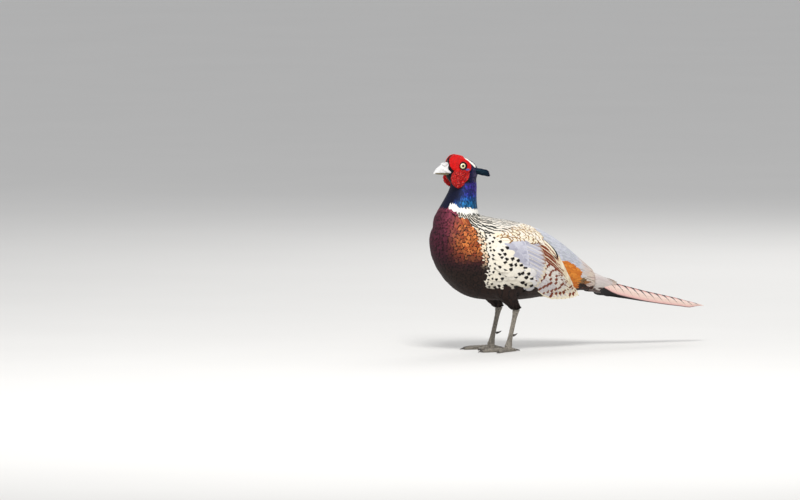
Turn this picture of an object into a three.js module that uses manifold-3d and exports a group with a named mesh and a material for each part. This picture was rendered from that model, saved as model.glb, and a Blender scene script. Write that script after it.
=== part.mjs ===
// A cock ring-necked pheasant at life size, standing on both feet. Its head is up and turned a little to
// its right, the wings are folded and the tail trails behind, clear of the floor.
// Millimetres, +Z up. The bird faces -X, its left side is -Y, and the floor is Z = 0.
// The outer surface of each solid is the outside of the plumage. Every piece is one closed body.
import * as THREE from "three";
import { mergeVertices } from "three/addons/utils/BufferGeometryUtils.js";
import Module from "manifold-3d";

const wasm = await Module();
wasm.setup();

// Clearance between pieces that touch.
const GAP = 0.3;
const LEFT = -1;
const RIGHT = 1;

// Trunk: breast to the end of the tail coverts. Heights are above the floor.
const BREAST_X = -140;
const SHOULDER_X = -62;
const TRUNK_END_X = 205;
const RUMP_END_X = 160;
const BREAST_POLE_Z = 190;
const BREAST_FULLNESS = 0.5;
const TRUNK_POWER = 2.2;

// Neck: the collar is where the neck leaves the trunk.
const COLLAR_Z = 241;
const COLLAR_SLOPE = -0.05;

// Head: its origin is between the eyes.
const HEAD_X = -87;
const HEAD_Z = 317;
const HEAD_TURN = THREE.MathUtils.degToRad(-8);
const HEAD_BACK = -33;
const HEAD_FRONT = 23;
const EYE_RADIUS = 7;
const EYE_SIDE = 14.8;
const BILL_TIP = 46.7;

// Legs: each foot's centre is where its toes meet.
const FOOT_X = { [LEFT]: -10, [RIGHT]: -10 };
const FOOT_Y = 33;
const FOOT_TOP = 9;
const HOCK_BACK = 15;
const HOCK_Z = 71;
const HIP_Z = 128;

// Tail: from the covert cone to the tip of the central pair.
const TAIL_TIP_X = 381;
const TAIL_TIP_Z = 64;

// Gives smooth curves through a table of rows [place, value, value, ...], read as { name: value } at a place.
function smoothTable(names, rows) {
  const places = rows.map((row) => row[0]);
  const values = rows.flatMap((row) => row.slice(1));
  const curve = new THREE.CubicInterpolant(places, values, names.length);
  return (place) => {
    const found = curve.evaluate(place);
    return Object.fromEntries(names.map((name, i) => [name, found[i]]));
  };
}

// Places evenly spread from a to b, both included.
function spread(a, b, count) {
  return Array.from({ length: count }, (_, i) => a + ((b - a) * i) / (count - 1));
}

// A closed surface through rings of equally many points. A ring of one point is a pole, and an end ring
// of more points is closed by a fan. Where turned(j) is true, the faces from point j to j + 1 are split
// along their other diagonal.
function shellThrough(rings, turned = () => false) {
  const points = rings.flat();
  const starts = [];
  rings.reduce((start, ring) => {
    starts.push(start);
    return start + ring.length;
  }, 0);
  const around = Math.max(...rings.map((ring) => ring.length));
  const index = [];
  for (let i = 0; i + 1 < rings.length; i++) {
    for (let j = 0; j < around; j++) {
      const [a, b] = [j, (j + 1) % around].map((k) => starts[i] + (rings[i].length > 1 ? k : 0));
      const [c, d] = [j, (j + 1) % around].map((k) => starts[i + 1] + (rings[i + 1].length > 1 ? k : 0));
      if (a === b) index.push(a, d, c);
      else if (c === d) index.push(a, b, c);
      else if (turned(j)) index.push(a, b, c, b, d, c);
      else index.push(a, b, d, a, d, c);
    }
  }
  for (const end of [0, rings.length - 1]) {
    const ring = rings[end];
    if (ring.length === 1) continue;
    const centre = ring.reduce((sum, p) => sum.add(p), new THREE.Vector3()).divideScalar(ring.length);
    points.push(centre);
    ring.forEach((_, j) => {
      const [p, q] = [starts[end] + j, starts[end] + ((j + 1) % ring.length)];
      if (end === 0) index.push(points.length - 1, q, p);
      else index.push(points.length - 1, p, q);
    });
  }
  const geometry = new THREE.BufferGeometry().setFromPoints(points);
  geometry.setIndex(index);
  return geometry;
}

// The solid of a closed geometry, whichever way its faces point.
function solidOf(geometry, matrix = new THREE.Matrix4()) {
  const bare = geometry.clone();
  bare.deleteAttribute("normal");
  bare.deleteAttribute("uv");
  const merged = mergeVertices(bare.applyMatrix4(matrix), 1e-4);
  const corners = merged.index.array;
  const kept = [];
  for (let i = 0; i < corners.length; i += 3) {
    const [a, b, c] = corners.slice(i, i + 3);
    if (a !== b && b !== c && a !== c) kept.push(a, b, c);
  }
  const at = (i) => new THREE.Vector3().fromBufferAttribute(merged.attributes.position, i);
  let volume = 0;
  for (let i = 0; i < kept.length; i += 3) {
    volume += at(kept[i]).dot(at(kept[i + 1]).cross(at(kept[i + 2])));
  }
  if (volume < 0) kept.reverse();
  const vertProperties = new Float32Array(merged.attributes.position.array);
  return new wasm.Manifold(new wasm.Mesh({ numProp: 3, vertProperties, triVerts: new Uint32Array(kept) }));
}

// The pieces joined, of which only the largest closed surface is kept.
function largestOf(...solids) {
  const joined = wasm.Manifold.union(solids);
  const bodies = joined.decompose();
  return bodies.reduce((best, body) => (body.volume() > best.volume() ? body : best));
}

function geometryOf(solid) {
  const { numProp, vertProperties, triVerts } = solid.getMesh();
  const positions = new Float32Array((vertProperties.length / numProp) * 3);
  for (let i = 0; i < positions.length / 3; i++) {
    positions.set(vertProperties.subarray(i * numProp, i * numProp + 3), i * 3);
  }
  const geometry = new THREE.BufferGeometry();
  geometry.setAttribute("position", new THREE.BufferAttribute(positions, 3));
  geometry.setIndex(new THREE.BufferAttribute(triVerts, 1));
  geometry.computeVertexNormals();
  return geometry;
}

// One cross-section: count points round an oval whose upper and lower halves may differ in height.
// place(side, height) turns them into points.
function ovalRing(count, half, rise, drop, power, place) {
  return Array.from({ length: count }, (_, i) => {
    const angle = (2 * Math.PI * i) / count;
    const [s, c] = [Math.sin(angle), Math.cos(angle)];
    const side = half * Math.sign(s) * Math.abs(s) ** (2 / power);
    const height = (c > 0 ? rise : drop) * Math.sign(c) * Math.abs(c) ** (2 / power);
    return place(side, height);
  });
}

// TRUNK

// Top, bottom and half width of the trunk along X, with waist the height of its widest place. The front
// end is drawn as if it went on, and trunkAt rounds it off.
const trunkTable = smoothTable(
  ["top", "bottom", "half", "waist"],
  [
    [BREAST_X, 240, 112, 50, 196],
    [SHOULDER_X, 236, 91, 58, 178],
    [-30, 227, 86.5, 61.5, 169],
    [5, 221, 85, 62.5, 160],
    [45, 211, 87, 60, 152],
    [80, 194.5, 92, 53, 145],
    [115, 170, 97, 42, 134],
    [145, 146, 98, 31, 122],
    [175, 123, 95, 21, 109],
    [TRUNK_END_X, 110, 90, 12, 100],
  ],
);

// The trunk's cross-section at x, as it is when the whole is grown outwards.
function trunkAt(x, grow = 0) {
  const { top, bottom, half, waist } = trunkTable(x);
  const reach = Math.min(1, Math.max(0, (SHOULDER_X - x) / (SHOULDER_X - BREAST_X + grow)));
  const round = (1 - reach ** 2) ** BREAST_FULLNESS;
  const pull = (value) => BREAST_POLE_Z + (value - BREAST_POLE_Z) * round;
  return {
    top: pull(top + grow),
    bottom: pull(bottom - grow),
    half: (half + grow) * round,
    waist: pull(waist),
  };
}

function trunkSolid(grow = 0) {
  const reach = SHOULDER_X - BREAST_X + grow;
  const capTurns = [78, 64, 50, 36, 23, 11].map(THREE.MathUtils.degToRad);
  const places = [
    ...capTurns.map((turn) => SHOULDER_X - reach * Math.sin(turn)),
    ...spread(SHOULDER_X, TRUNK_END_X, 14),
  ];
  const rings = places.map((x) => {
    const { top, bottom, half, waist } = trunkAt(x, grow);
    return ovalRing(24, half, top - waist, waist - bottom, TRUNK_POWER, (side, height) =>
      new THREE.Vector3(x, side, waist + height),
    );
  });
  const breast = new THREE.Vector3(BREAST_X - grow, 0, BREAST_POLE_Z);
  return solidOf(shellThrough([[breast], ...rings]));
}

// NECK

const neckTable = smoothTable(
  ["x", "radius", "half"],
  [
    [188, -86, 38, 36],
    [212, -91, 41.5, 41],
    [231, -91.5, 38, 38.5],
    [246, -88.5, 32, 33],
    [258, -85, 28, 29],
    [268, -82, 25, 26],
    [280, -79, 22.8, 23.5],
    [292, -78, 21.5, 21.5],
    [304, -79, 19, 18],
  ],
);

function neckSolid(grow = 0) {
  const rings = spread(188, 304, 12).map((z) => {
    const { x, radius, half } = neckTable(z);
    return ovalRing(20, half + grow, radius + grow, radius + grow, 2, (side, ahead) =>
      new THREE.Vector3(x - ahead, side, z),
    );
  });
  return solidOf(shellThrough(rings));
}

// HEAD, in its own frame: x is ahead of the eyes, y to the bird's left and z up.

const headPlace = new THREE.Matrix4()
  .makeTranslation(HEAD_X, 0, HEAD_Z)
  .multiply(new THREE.Matrix4().makeRotationZ(Math.PI + HEAD_TURN));

const headTable = smoothTable(
  ["top", "bottom", "half", "waist"],
  [
    [HEAD_BACK, 9, -32, 17.5, -9],
    [-15, 11, -36, 19, -8],
    [-3, 15.5, -36, 18.6, -6],
    [7, 18, -34, 17.2, -4],
    [14, 16.8, -30, 14.8, -3],
    [19, 13, -25, 12, -3.5],
    [HEAD_FRONT, 7.5, -20, 9.5, -4],
  ],
);
const NAPE_START = -12;
const NAPE_Z = -12;

function headAt(ahead, grow = 0) {
  const { top, bottom, half, waist } = headTable(ahead);
  const reach = Math.min(1, Math.max(0, (NAPE_START - ahead) / (NAPE_START - HEAD_BACK + grow)));
  const round = (1 - reach ** 2) ** 0.5;
  const pull = (value) => NAPE_Z + (value - NAPE_Z) * round;
  return {
    top: pull(top + grow),
    bottom: pull(bottom - grow),
    half: (half + grow) * round,
    waist: pull(waist),
  };
}

function headSolid(grow = 0) {
  const reach = NAPE_START - HEAD_BACK + grow;
  const capTurns = [74, 56, 38, 19].map(THREE.MathUtils.degToRad);
  const places = [
    ...capTurns.map((turn) => NAPE_START - reach * Math.sin(turn)),
    ...spread(NAPE_START, HEAD_FRONT - 3, 8),
    HEAD_FRONT + grow,
  ];
  const rings = places.map((ahead) => {
    const { top, bottom, half, waist } = headAt(ahead, grow);
    return ovalRing(16, half, top - waist, waist - bottom, 2.1, (side, height) =>
      new THREE.Vector3(ahead, side, waist + height),
    );
  });
  // The forehead rounds in to a small flat behind the bill.
  const face = rings.at(-1).map((p) => {
    const middle = new THREE.Vector3(p.x + 3, 0, -4);
    return middle.lerp(p, 0.6);
  });
  const nape = new THREE.Vector3(HEAD_BACK - grow, 0, NAPE_Z);
  return solidOf(shellThrough([[nape], ...rings, face]), headPlace);
}

// The bill's two halves share the line of the mouth. Each runs back into the face.
const MOUTH_Z = -12;
const MOUTH_GAP = 0.5;
const BILL_BACK = 13;

const upperBillTable = smoothTable(
  ["top", "bottom", "half"],
  [
    [BILL_BACK, 5.5, MOUTH_Z, 9],
    [20, 6.4, MOUTH_Z, 8.4],
    [26, 5.2, MOUTH_Z, 7.6],
    [32, 2.2, MOUTH_Z, 6.3],
    [38, -2, MOUTH_Z, 4.6],
    [42.5, -6.4, -12.6, 3],
    [45.6, -10.8, -14, 1.5],
  ],
);

function upperBillSolid(grow = 0) {
  const rings = spread(BILL_BACK, 45.6, 9).map((ahead) => {
    const { top, bottom, half } = upperBillTable(ahead);
    return ovalRing(14, half + grow, top - bottom + grow, 0.8 + grow, 2, (side, height) =>
      new THREE.Vector3(ahead, side, bottom + Math.max(height, -grow)),
    );
  });
  const hook = new THREE.Vector3(BILL_TIP + grow, 0, -14.2);
  const horn = solidOf(shellThrough([...rings, [hook]]), headPlace);
  // The soft cover over each nostril, and the slit under it.
  const covers = [LEFT, RIGHT].map((side) =>
    solidOf(
      new THREE.SphereGeometry(1, 10, 7),
      placed(headPlace, [27, side * 4, 1.6], [5.2 + grow, 3.6 + grow, 3.4 + grow]),
    ),
  );
  const whole = wasm.Manifold.union([horn, ...covers]);
  if (grow) return whole;
  const slits = [LEFT, RIGHT].map((side) =>
    solidOf(new THREE.SphereGeometry(1, 8, 6), placed(headPlace, [29, side * 8, -2.2], [3.4, 2, 1])),
  );
  return largestOf(whole.subtract(wasm.Manifold.union(slits)));
}

const lowerBillTable = smoothTable(
  ["bottom", "half"],
  [
    [BILL_BACK, -16.6, 7.8],
    [24, -16.3, 6.6],
    [33, -15.6, 5],
    [41, -14.7, 2.8],
  ],
);

function lowerBillSolid(grow = 0) {
  const top = MOUTH_Z - MOUTH_GAP;
  const rings = spread(BILL_BACK, 41, 6).map((ahead) => {
    const { bottom, half } = lowerBillTable(ahead);
    return ovalRing(12, half + grow, 0.8 + grow, top - bottom + grow, 2, (side, height) =>
      new THREE.Vector3(ahead, side, top + Math.min(height, grow)),
    );
  });
  const tip = new THREE.Vector3(43.6 + grow, 0, top - 1.1);
  return solidOf(shellThrough([...rings, [tip]]), headPlace);
}

// A matrix that scales, then sets down at a place, within an outer frame.
function placed(outer, position, scale, turn = new THREE.Quaternion()) {
  const inner = new THREE.Matrix4().compose(
    new THREE.Vector3(...position),
    turn,
    new THREE.Vector3(...scale),
  );
  return outer.clone().multiply(inner);
}

function eyeSolid(side, grow = 0) {
  const radius = EYE_RADIUS + grow;
  const ball = new THREE.SphereGeometry(1, 16, 10);
  return solidOf(ball, placed(headPlace, [0, -side * EYE_SIDE, 0], [radius, radius, radius]));
}

// WHOLE BODY, from which head, neck, torso and the tail's cone are cut

function bodySolid(grow = 0) {
  return wasm.Manifold.union([trunkSolid(grow), neckSolid(grow), headSolid(grow)]);
}

const body = bodySolid();
const clearOfBody = bodySolid(GAP);

// The part of a solid on one side of a slanted cut across the neck: above it where up is 1.
function besideCut(solid, x, z, slope, up) {
  const normal = new THREE.Vector3(-slope, 0, 1).normalize().multiplyScalar(up);
  const offset = normal.dot(new THREE.Vector3(x, 0, z)) + GAP / 2;
  return solid.trimByPlane(normal.toArray(), offset);
}

const NAPE_CUT = { x: -79, z: 287, slope: 0.3 };
const COLLAR_CUT = { x: -90, z: COLLAR_Z, slope: COLLAR_SLOPE };

function headPart() {
  const above = besideCut(body, NAPE_CUT.x, NAPE_CUT.z, NAPE_CUT.slope, 1);
  const sockets = [
    upperBillSolid(GAP),
    lowerBillSolid(GAP),
    eyeSolid(LEFT, GAP),
    eyeSolid(RIGHT, GAP),
  ];
  return largestOf(above.subtract(wasm.Manifold.union(sockets)));
}

function neckPart() {
  const below = besideCut(body, NAPE_CUT.x, NAPE_CUT.z, NAPE_CUT.slope, -1);
  return largestOf(besideCut(below, COLLAR_CUT.x, COLLAR_CUT.z, COLLAR_CUT.slope, 1));
}

function torsoPart() {
  const below = besideCut(body, COLLAR_CUT.x, COLLAR_CUT.z, COLLAR_CUT.slope, -1);
  return largestOf(below.trimByPlane([-1, 0, 0], -RUMP_END_X));
}

// WATTLES: bare red skin round each eye and over the cheek, with a lid round the eye

const WATTLE_DEPTH = 2.4;
const LOBE_SIZE = [18.2, 5, 17];
const LOBE_SIDE = 18.2;
const LOBE_Z = -21.5;
const LOBE_SWING = THREE.MathUtils.degToRad(11);
// Warts on the lobe: place ahead of and above its middle, and size.
const LOBE_BULBS = [
  [-9, 3, 1.8], [-3, 6, 1.6], [4, 5, 1.9], [11, 2, 1.7], [-7, -3, 1.9], [0, -1, 2], [7, -3, 1.8],
  [-9, -9, 1.7], [-3, -7, 1.9], [4, -8, 1.8], [0, -13, 1.6],
];

function wattleSolid(side) {
  const prisms = [
    { at: [6.5, 5], size: [14.8, 15.5] },
    { at: [-4, -1], size: [11.5, 12] },
    { at: [1, -14], size: [13, 14] },
  ].map(({ at, size }) =>
    solidOf(
      new THREE.CylinderGeometry(1, 1, 40, 16),
      placed(headPlace, [at[0], -side * 26, at[1]], [size[0], 1, size[1]]),
    ),
  );
  const skin = bodySolid(WATTLE_DEPTH).subtract(clearOfBody);
  const pad = skin.intersect(wasm.Manifold.union(prisms));
  // The lower lobe hangs beside the throat as a thick disc that swings out towards the front.
  const swing = new THREE.Quaternion().setFromAxisAngle(new THREE.Vector3(0, 0, 1), -side * LOBE_SWING);
  const lobe = solidOf(
    new THREE.SphereGeometry(1, 14, 9),
    placed(headPlace, [4.3, -side * LOBE_SIDE, LOBE_Z], LOBE_SIZE, swing),
  );
  const lid = solidOf(
    new THREE.TorusGeometry(6.6, 1.3, 5, 14).rotateX(Math.PI / 2),
    placed(headPlace, [0, -side * 20.6, 0], [1, 1, 1]),
  );
  const bulbs = LOBE_BULBS.map(([ahead, up, size]) => {
    const [across, high] = [ahead / LOBE_SIZE[0], up / LOBE_SIZE[2]];
    const out = LOBE_SIZE[1] * Math.sqrt(1 - across ** 2 - high ** 2);
    const centre = new THREE.Vector3(ahead, -side * out, up).applyQuaternion(swing);
    centre.add(new THREE.Vector3(4.3, -side * LOBE_SIDE, LOBE_Z));
    return solidOf(new THREE.IcosahedronGeometry(size), placed(headPlace, centre.toArray(), [1, 0.7, 1]));
  });
  const clear = [eyeSolid(side, GAP), upperBillSolid(GAP), lowerBillSolid(GAP), clearOfBody];
  return largestOf(largestOf(pad, lobe, lid, ...bulbs).subtract(wasm.Manifold.union(clear)));
}

// FEATHER VANES

const VANE_EDGE = 0.6;
const VANE_MIDDLE = 0.85;
// How wide a vane is along its length, as shares of its half width.
const VANE_OUTLINE = [[0, 0.65], [0.4, 1], [0.78, 0.9], [0.95, 0.48]];
const LONG_OUTLINE = [[0, 0.6], [0.3, 0.95], [0.62, 1], [0.86, 0.74], [0.97, 0.36]];

// A thin closed feather whose tip is a point. pointAt(along, across, out, share) places it: along runs
// from 0 at the root to 1 at the tip, across and out are millimetres, and share is its width there.
function vaneSolid(half, pointAt, outline = VANE_OUTLINE) {
  const rings = outline.map(([along, share]) => {
    const edge = half * share;
    const section = [
      [-edge, VANE_EDGE], [0, VANE_MIDDLE], [edge, VANE_EDGE], [edge, 0], [0, 0], [-edge, 0],
    ];
    return section.map(([across, out]) => pointAt(along, across, out, share));
  });
  const tip = pointAt(1, 0, VANE_EDGE / 2, 0.1);
  return solidOf(shellThrough([...rings, [tip]], (j) => j === 3 || j === 4));
}

// EAR TUFTS: narrow feathers swept back from above the ear, lying side by side

const TUFT_OUTLINE = [[0, 1], [0.35, 1], [0.75, 0.95], [0.95, 0.7]];
const TUFT_VANES = [
  { high: 2.6, reach: 25.5, out: 0.6 },
  { high: 0.4, reach: 27, out: 0 },
  { high: -1.8, reach: 25, out: -0.7 },
  { high: -3.6, reach: 22.5, out: 0.1 },
];

function tuftSolid(side) {
  const core = solidOf(
    new THREE.SphereGeometry(1, 10, 8),
    placed(headPlace, [-27, -side * 12.6, -9.4], [6.5, 2, 4.4]),
  );
  const vanes = TUFT_VANES.map(({ high, reach, out }) =>
    vaneSolid(
      1.9,
      (along, across, thick) => {
        const back = new THREE.Vector3(-22 - reach * along, 0, -8.6 + high - 5.2 * along + across);
        back.y = -side * (12 + 2.4 * along + out + 2 * thick);
        return back.applyMatrix4(headPlace);
      },
      TUFT_OUTLINE,
    ),
  );
  return largestOf(largestOf(core, ...vanes).subtract(clearOfBody));
}

// WINGS

// How far the trunk's side stands out at (x, z). Above and below, it is held out, so that a wing lying
// on it doesn't tuck in under the body.
const WING_TUCK = 0.84;

function flankY(x, z) {
  const { top, bottom, half, waist } = trunkAt(x);
  const height = z > waist ? (z - waist) / (top - waist) : (waist - z) / (waist - bottom);
  return half * (1 - Math.min(height, WING_TUCK) ** TRUNK_POWER) ** (1 / TRUNK_POWER);
}

// A point of the folded wing, lift outside the flank and square to it. The slope is taken over a wide
// span, so that sheets at different lifts stay side by side.
const SLOPE_SPAN = 12;

function onFlank(side, x, z, lift) {
  const rise = (flankY(x, z + SLOPE_SPAN) - flankY(x, z - SLOPE_SPAN)) / (2 * SLOPE_SPAN);
  const run = (flankY(x + SLOPE_SPAN, z) - flankY(x - SLOPE_SPAN, z)) / (2 * SLOPE_SPAN);
  const outward = new THREE.Vector3(-run, 1, -rise).normalize().multiplyScalar(lift);
  return new THREE.Vector3(x + outward.x, side * (flankY(x, z) + outward.y), z + outward.z);
}

const WING_FRONT_X = -54;
const SHIELD_END_X = 24;
const SHIELD_LIFT = 0.7;

// Lower and upper edge and thickness of the forearm, which the small coverts hide.
const shieldTable = smoothTable(
  ["low", "high", "depth"],
  [
    [WING_FRONT_X, 166, 178, 1],
    [-40, 141, 198, 4.6],
    [-22, 126, 203, 6.6],
    [-5, 118, 203, 5.6],
    [10, 112, 202, 3],
    [SHIELD_END_X, 108, 200, 0.8],
  ],
);

function shieldSolid(side) {
  const rings = spread(WING_FRONT_X, SHIELD_END_X, 9).map((x) => {
    const { low, high, depth } = shieldTable(x);
    const at = (t, lift) => onFlank(side, x, low + (high - low) * t, lift);
    const outer = spread(0, 1, 8).map((t) =>
      at(t, SHIELD_LIFT + depth * (0.2 + 0.8 * Math.sin(Math.PI * t) ** 0.5)),
    );
    const inner = spread(1, 0, 8).map((t) => at(t, SHIELD_LIFT));
    return [...outer, ...inner];
  });
  return solidOf(shellThrough(rings));
}

// Feathers of the folded wing, each { root: [x, z], tip: [x, z], half, bow, lift: [at root, at tip] }.
// Each row lies over the one before it, and is listed from the back down to the belly.
const FLIGHT = { half: 11.6, lift: [2.6, 2.2], roll: 0.12, outline: LONG_OUTLINE };
const GREATER = { half: 9.8, lift: [4, 5.6], roll: 0.08, outline: VANE_OUTLINE };
const MEDIAN = { half: 9.6, lift: [2.6, 7.6], roll: 0.07, outline: VANE_OUTLINE };

const WING_FEATHERS = [
  ...[
    [10, 200, 72, 155, 7],
    [3, 192, 85, 137, 8],
    [0, 183, 98, 118, 8],
    [0, 173, 113, 102, 7],
    [1, 162, 128, 90, 6],
    [1, 151, 117, 87, 4],
    [-1, 140, 101, 86, 3],
    [-4, 129, 83, 88, 1],
  ].map((row) => ({ row, ...FLIGHT })),
  ...[
    [-18, 195, 38, 178, 4],
    [-26, 184, 45, 160, 4],
    [-30, 172, 48, 143, 4],
    [-31, 160, 45, 127, 3],
    [-30, 147, 37, 112, 3],
  ].map((row) => ({ row, ...GREATER })),
  ...[
    [-37, 191, 4, 181, 2],
    [-42, 179, 8, 162, 2],
    [-43, 166, 7, 144, 2],
    [-41, 153, 1, 127, 2],
  ].map((row) => ({ row, ...MEDIAN })),
];

// The lower edge of each feather stands out over the next one down.
function wingFeather(side, { row, half, lift, roll, outline }) {
  const [rootX, rootZ, tipX, tipZ, bow] = row;
  const length = Math.hypot(tipX - rootX, tipZ - rootZ);
  const [upX, upZ] = [(rootZ - tipZ) / length, (tipX - rootX) / length];
  const pointAt = (along, across, out) => {
    const aside = across + bow * Math.sin(Math.PI * along);
    const x = rootX + (tipX - rootX) * along + upX * aside;
    const z = rootZ + (tipZ - rootZ) * along + upZ * aside;
    return onFlank(side, x, z, lift[0] + (lift[1] - lift[0]) * along - roll * across + out);
  };
  return vaneSolid(half, pointAt, outline);
}

function wingSolid(side) {
  const feathers = WING_FEATHERS.map((feather) => wingFeather(side, feather));
  const clear = wasm.Manifold.union([clearOfBody, thighCore(side, GAP)]);
  return largestOf(largestOf(shieldSolid(side), ...feathers).subtract(clear));
}

// TAIL

function tailConeSolid() {
  return body.trimByPlane([1, 0, 0], RUMP_END_X + GAP);
}

// The tail's ridge line.
const ridgeTable = smoothTable(
  ["z"],
  [
    [165, 127],
    [185, 117.5],
    [210, 109],
    [264, 94.5],
    [329, 79],
    [TAIL_TIP_X, TAIL_TIP_Z],
  ],
);

const TAIL_ROOT_X = 172;
const TAIL_TIPS = [TAIL_TIP_X, 346, 314, 286, 262, 242];
const TAIL_OUTLINE = [[0, 0.72], [0.25, 1], [0.6, 0.94], [0.85, 0.6], [0.97, 0.25]];

// One tail feather: pair 0 is the long middle pair on top, and each pair below is shorter and steeper,
// so that the tail is a roof of stepped vanes. drop is how far its inner edge lies under the ridge.
function tailFeather(side, { tipX, rootX, half, inner, drop, tilt }, outline) {
  const slope = THREE.MathUtils.degToRad(tilt);
  return vaneSolid(
    half,
    (along, across, out, share) => {
      const x = rootX + (tipX - rootX) * along;
      const over = half * share + across;
      const y = inner + over * Math.cos(slope) + out * Math.sin(slope);
      const z = ridgeTable(x).z - drop - over * Math.sin(slope) + out * Math.cos(slope);
      return new THREE.Vector3(x, side * y, z);
    },
    outline,
  );
}

function tailFeathers(side) {
  const rectrices = TAIL_TIPS.map((tipX, k) => ({
    tipX,
    rootX: TAIL_ROOT_X,
    half: k < 1 ? 10 : 11,
    inner: 0.4 + 0.25 * k,
    drop: 1.3 * k,
    tilt: 22 + 3.4 * k,
  }));
  const coverts = [
    { tipX: 232, rootX: 166, half: 9, inner: 0.4, drop: -1.3, tilt: 18 },
    { tipX: 218, rootX: 163, half: 9, inner: 8, drop: 0.6, tilt: 40 },
  ];
  return [
    ...rectrices.map((feather) => tailFeather(side, feather, TAIL_OUTLINE)),
    ...coverts.map((feather) => tailFeather(side, feather, VANE_OUTLINE)),
  ];
}

function tailSolid() {
  const feathers = [...tailFeathers(LEFT), ...tailFeathers(RIGHT)];
  return largestOf(tailConeSolid(), ...feathers);
}

// LEGS, in a frame with its origin on the floor where the toes meet. Ahead is -X.

function legPlace(side) {
  return new THREE.Matrix4().makeTranslation(FOOT_X[side], side * FOOT_Y, 0);
}

function thighCore(side, grow = 0) {
  const thighTable = smoothTable(
    ["x", "long", "wide"],
    [
      [HOCK_Z + GAP, HOCK_BACK - 0.5, 7, 6.5],
      [82, HOCK_BACK - 9, 12.5, 10.5],
      [96, HOCK_BACK - 21, 20, 15],
      [112, HOCK_BACK - 28, 25, 18],
      [HIP_Z, HOCK_BACK - 31, 26, 18],
    ],
  );
  const rings = spread(HOCK_Z + GAP, HIP_Z, 8).map((z) => {
    const { x, long, wide } = thighTable(z);
    return ovalRing(14, wide + grow, long + grow, long + grow, 2, (across, ahead) =>
      new THREE.Vector3(x - ahead, across, z),
    );
  });
  return solidOf(shellThrough(rings), legPlace(side));
}

function thighSolid(side) {
  return largestOf(thighCore(side).subtract(clearOfBody));
}

const SCUTES = 10;

function tarsusSolid(side) {
  const bottom = FOOT_TOP + GAP;
  const pitch = (HOCK_Z - bottom) / SCUTES;
  const ringAt = (z, raised) => {
    const t = (z - bottom) / (HOCK_Z - bottom);
    const swell = 3.4 + 2.2 * (2 * t - 1) ** 4;
    const front = swell * 1.25 + raised;
    return ovalRing(10, swell * 0.85, front, swell * 1.25, 2.2, (across, ahead) =>
      new THREE.Vector3(HOCK_BACK * t - ahead, across, z),
    );
  };
  const rings = [];
  for (let i = 0; i < SCUTES; i++) {
    rings.push(ringAt(bottom + pitch * i + (i ? 0.1 : 0), 0.7));
    rings.push(ringAt(bottom + pitch * (i + 1), 0));
  }
  return solidOf(shellThrough(rings), legPlace(side));
}

// The toes: how long, how wide, and how many degrees outwards from straight ahead.
const TOES = {
  inner: { reach: 40, wide: 3.5, turn: -36 },
  middle: { reach: 50, wide: 3.9, turn: 2 },
  outer: { reach: 41, wide: 3.5, turn: 40 },
  hind: { reach: 15, wide: 3, turn: 186 },
};
const CLAW_LENGTH = 9;

// Rings of a toe at distances along it. The sole is flat on the floor.
function toeRing(out, half, high) {
  const outline = [
    [-0.7, 0], [0.7, 0], [1, 0.35], [0.85, 0.75], [0.35, 1], [-0.35, 1], [-0.85, 0.75], [-1, 0.35],
  ];
  return outline.map(([across, up]) => new THREE.Vector3(-out, across * half, up * high));
}

function toePlace(side, turn) {
  return legPlace(side).multiply(new THREE.Matrix4().makeRotationZ(THREE.MathUtils.degToRad(-side * turn)));
}

function toeSolid(side, { reach, wide, turn }) {
  const plates = Math.round(reach / 7);
  const rings = [];
  for (let i = 0; i < plates; i++) {
    for (const [part, raised] of [[0, 0.55], [1, 0]]) {
      const t = (i + part) / plates;
      const out = reach * t + (part || !i ? 0 : 0.1);
      rings.push(toeRing(out, wide * (1 - 0.28 * t), 7.4 - 3 * t + raised));
    }
  }
  return solidOf(shellThrough(rings), toePlace(side, turn));
}

function footSolid(side) {
  const pad = [[0, 7], [2, 8], [6, 7.4], [FOOT_TOP, 5.4]].map(([z, radius]) =>
    ovalRing(12, radius * 0.9, radius, radius, 2, (across, ahead) => new THREE.Vector3(-ahead, across, z)),
  );
  const toes = Object.values(TOES).map((toe) => toeSolid(side, toe));
  return largestOf(solidOf(shellThrough(pad), legPlace(side)), ...toes);
}

function clawSolid(side, { reach, wide, turn }) {
  const base = wide * 0.62;
  const rings = spread(0, 0.8, 4).map((t) => {
    const drop = 1.3 * t * t;
    return ovalRing(8, base * (1 - 0.75 * t), 2.1 * (1 - 0.7 * t), 1.5 * (1 - 0.7 * t), 2, (across, up) =>
      new THREE.Vector3(-(reach + GAP + CLAW_LENGTH * t), across, 2.2 - drop + up),
    );
  });
  const point = new THREE.Vector3(-(reach + GAP + CLAW_LENGTH), 0, 0.7);
  return solidOf(shellThrough([...rings, [point]]), toePlace(side, turn));
}

function spurSolid(side) {
  const root = new THREE.Vector3(HOCK_BACK * 0.3 + 3, 0, 27);
  const tip = root.clone().add(new THREE.Vector3(12, -side * 3, 4));
  const rings = spread(0, 0.8, 4).map((t) => {
    const centre = root.clone().lerp(tip, t).add(new THREE.Vector3(0, 0, -1.2 * Math.sin(Math.PI * t)));
    const radius = 2.8 * (1 - 0.8 * t);
    return ovalRing(8, radius, radius, radius, 2, (across, up) =>
      centre.clone().add(new THREE.Vector3(0, across, up)),
    );
  });
  const horn = solidOf(shellThrough([...rings, [tip]]), legPlace(side));
  const clear = solidOf(
    new THREE.CylinderGeometry(5.2, 5.2, 30, 16).rotateX(Math.PI / 2),
    legPlace(side).multiply(new THREE.Matrix4().makeTranslation(HOCK_BACK * 0.3, 0, 27)),
  );
  return largestOf(horn.subtract(clear));
}

// ASSEMBLY

const material = (color, roughness, metalness = 0) =>
  new THREE.MeshStandardMaterial({ color, roughness, metalness });

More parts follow.
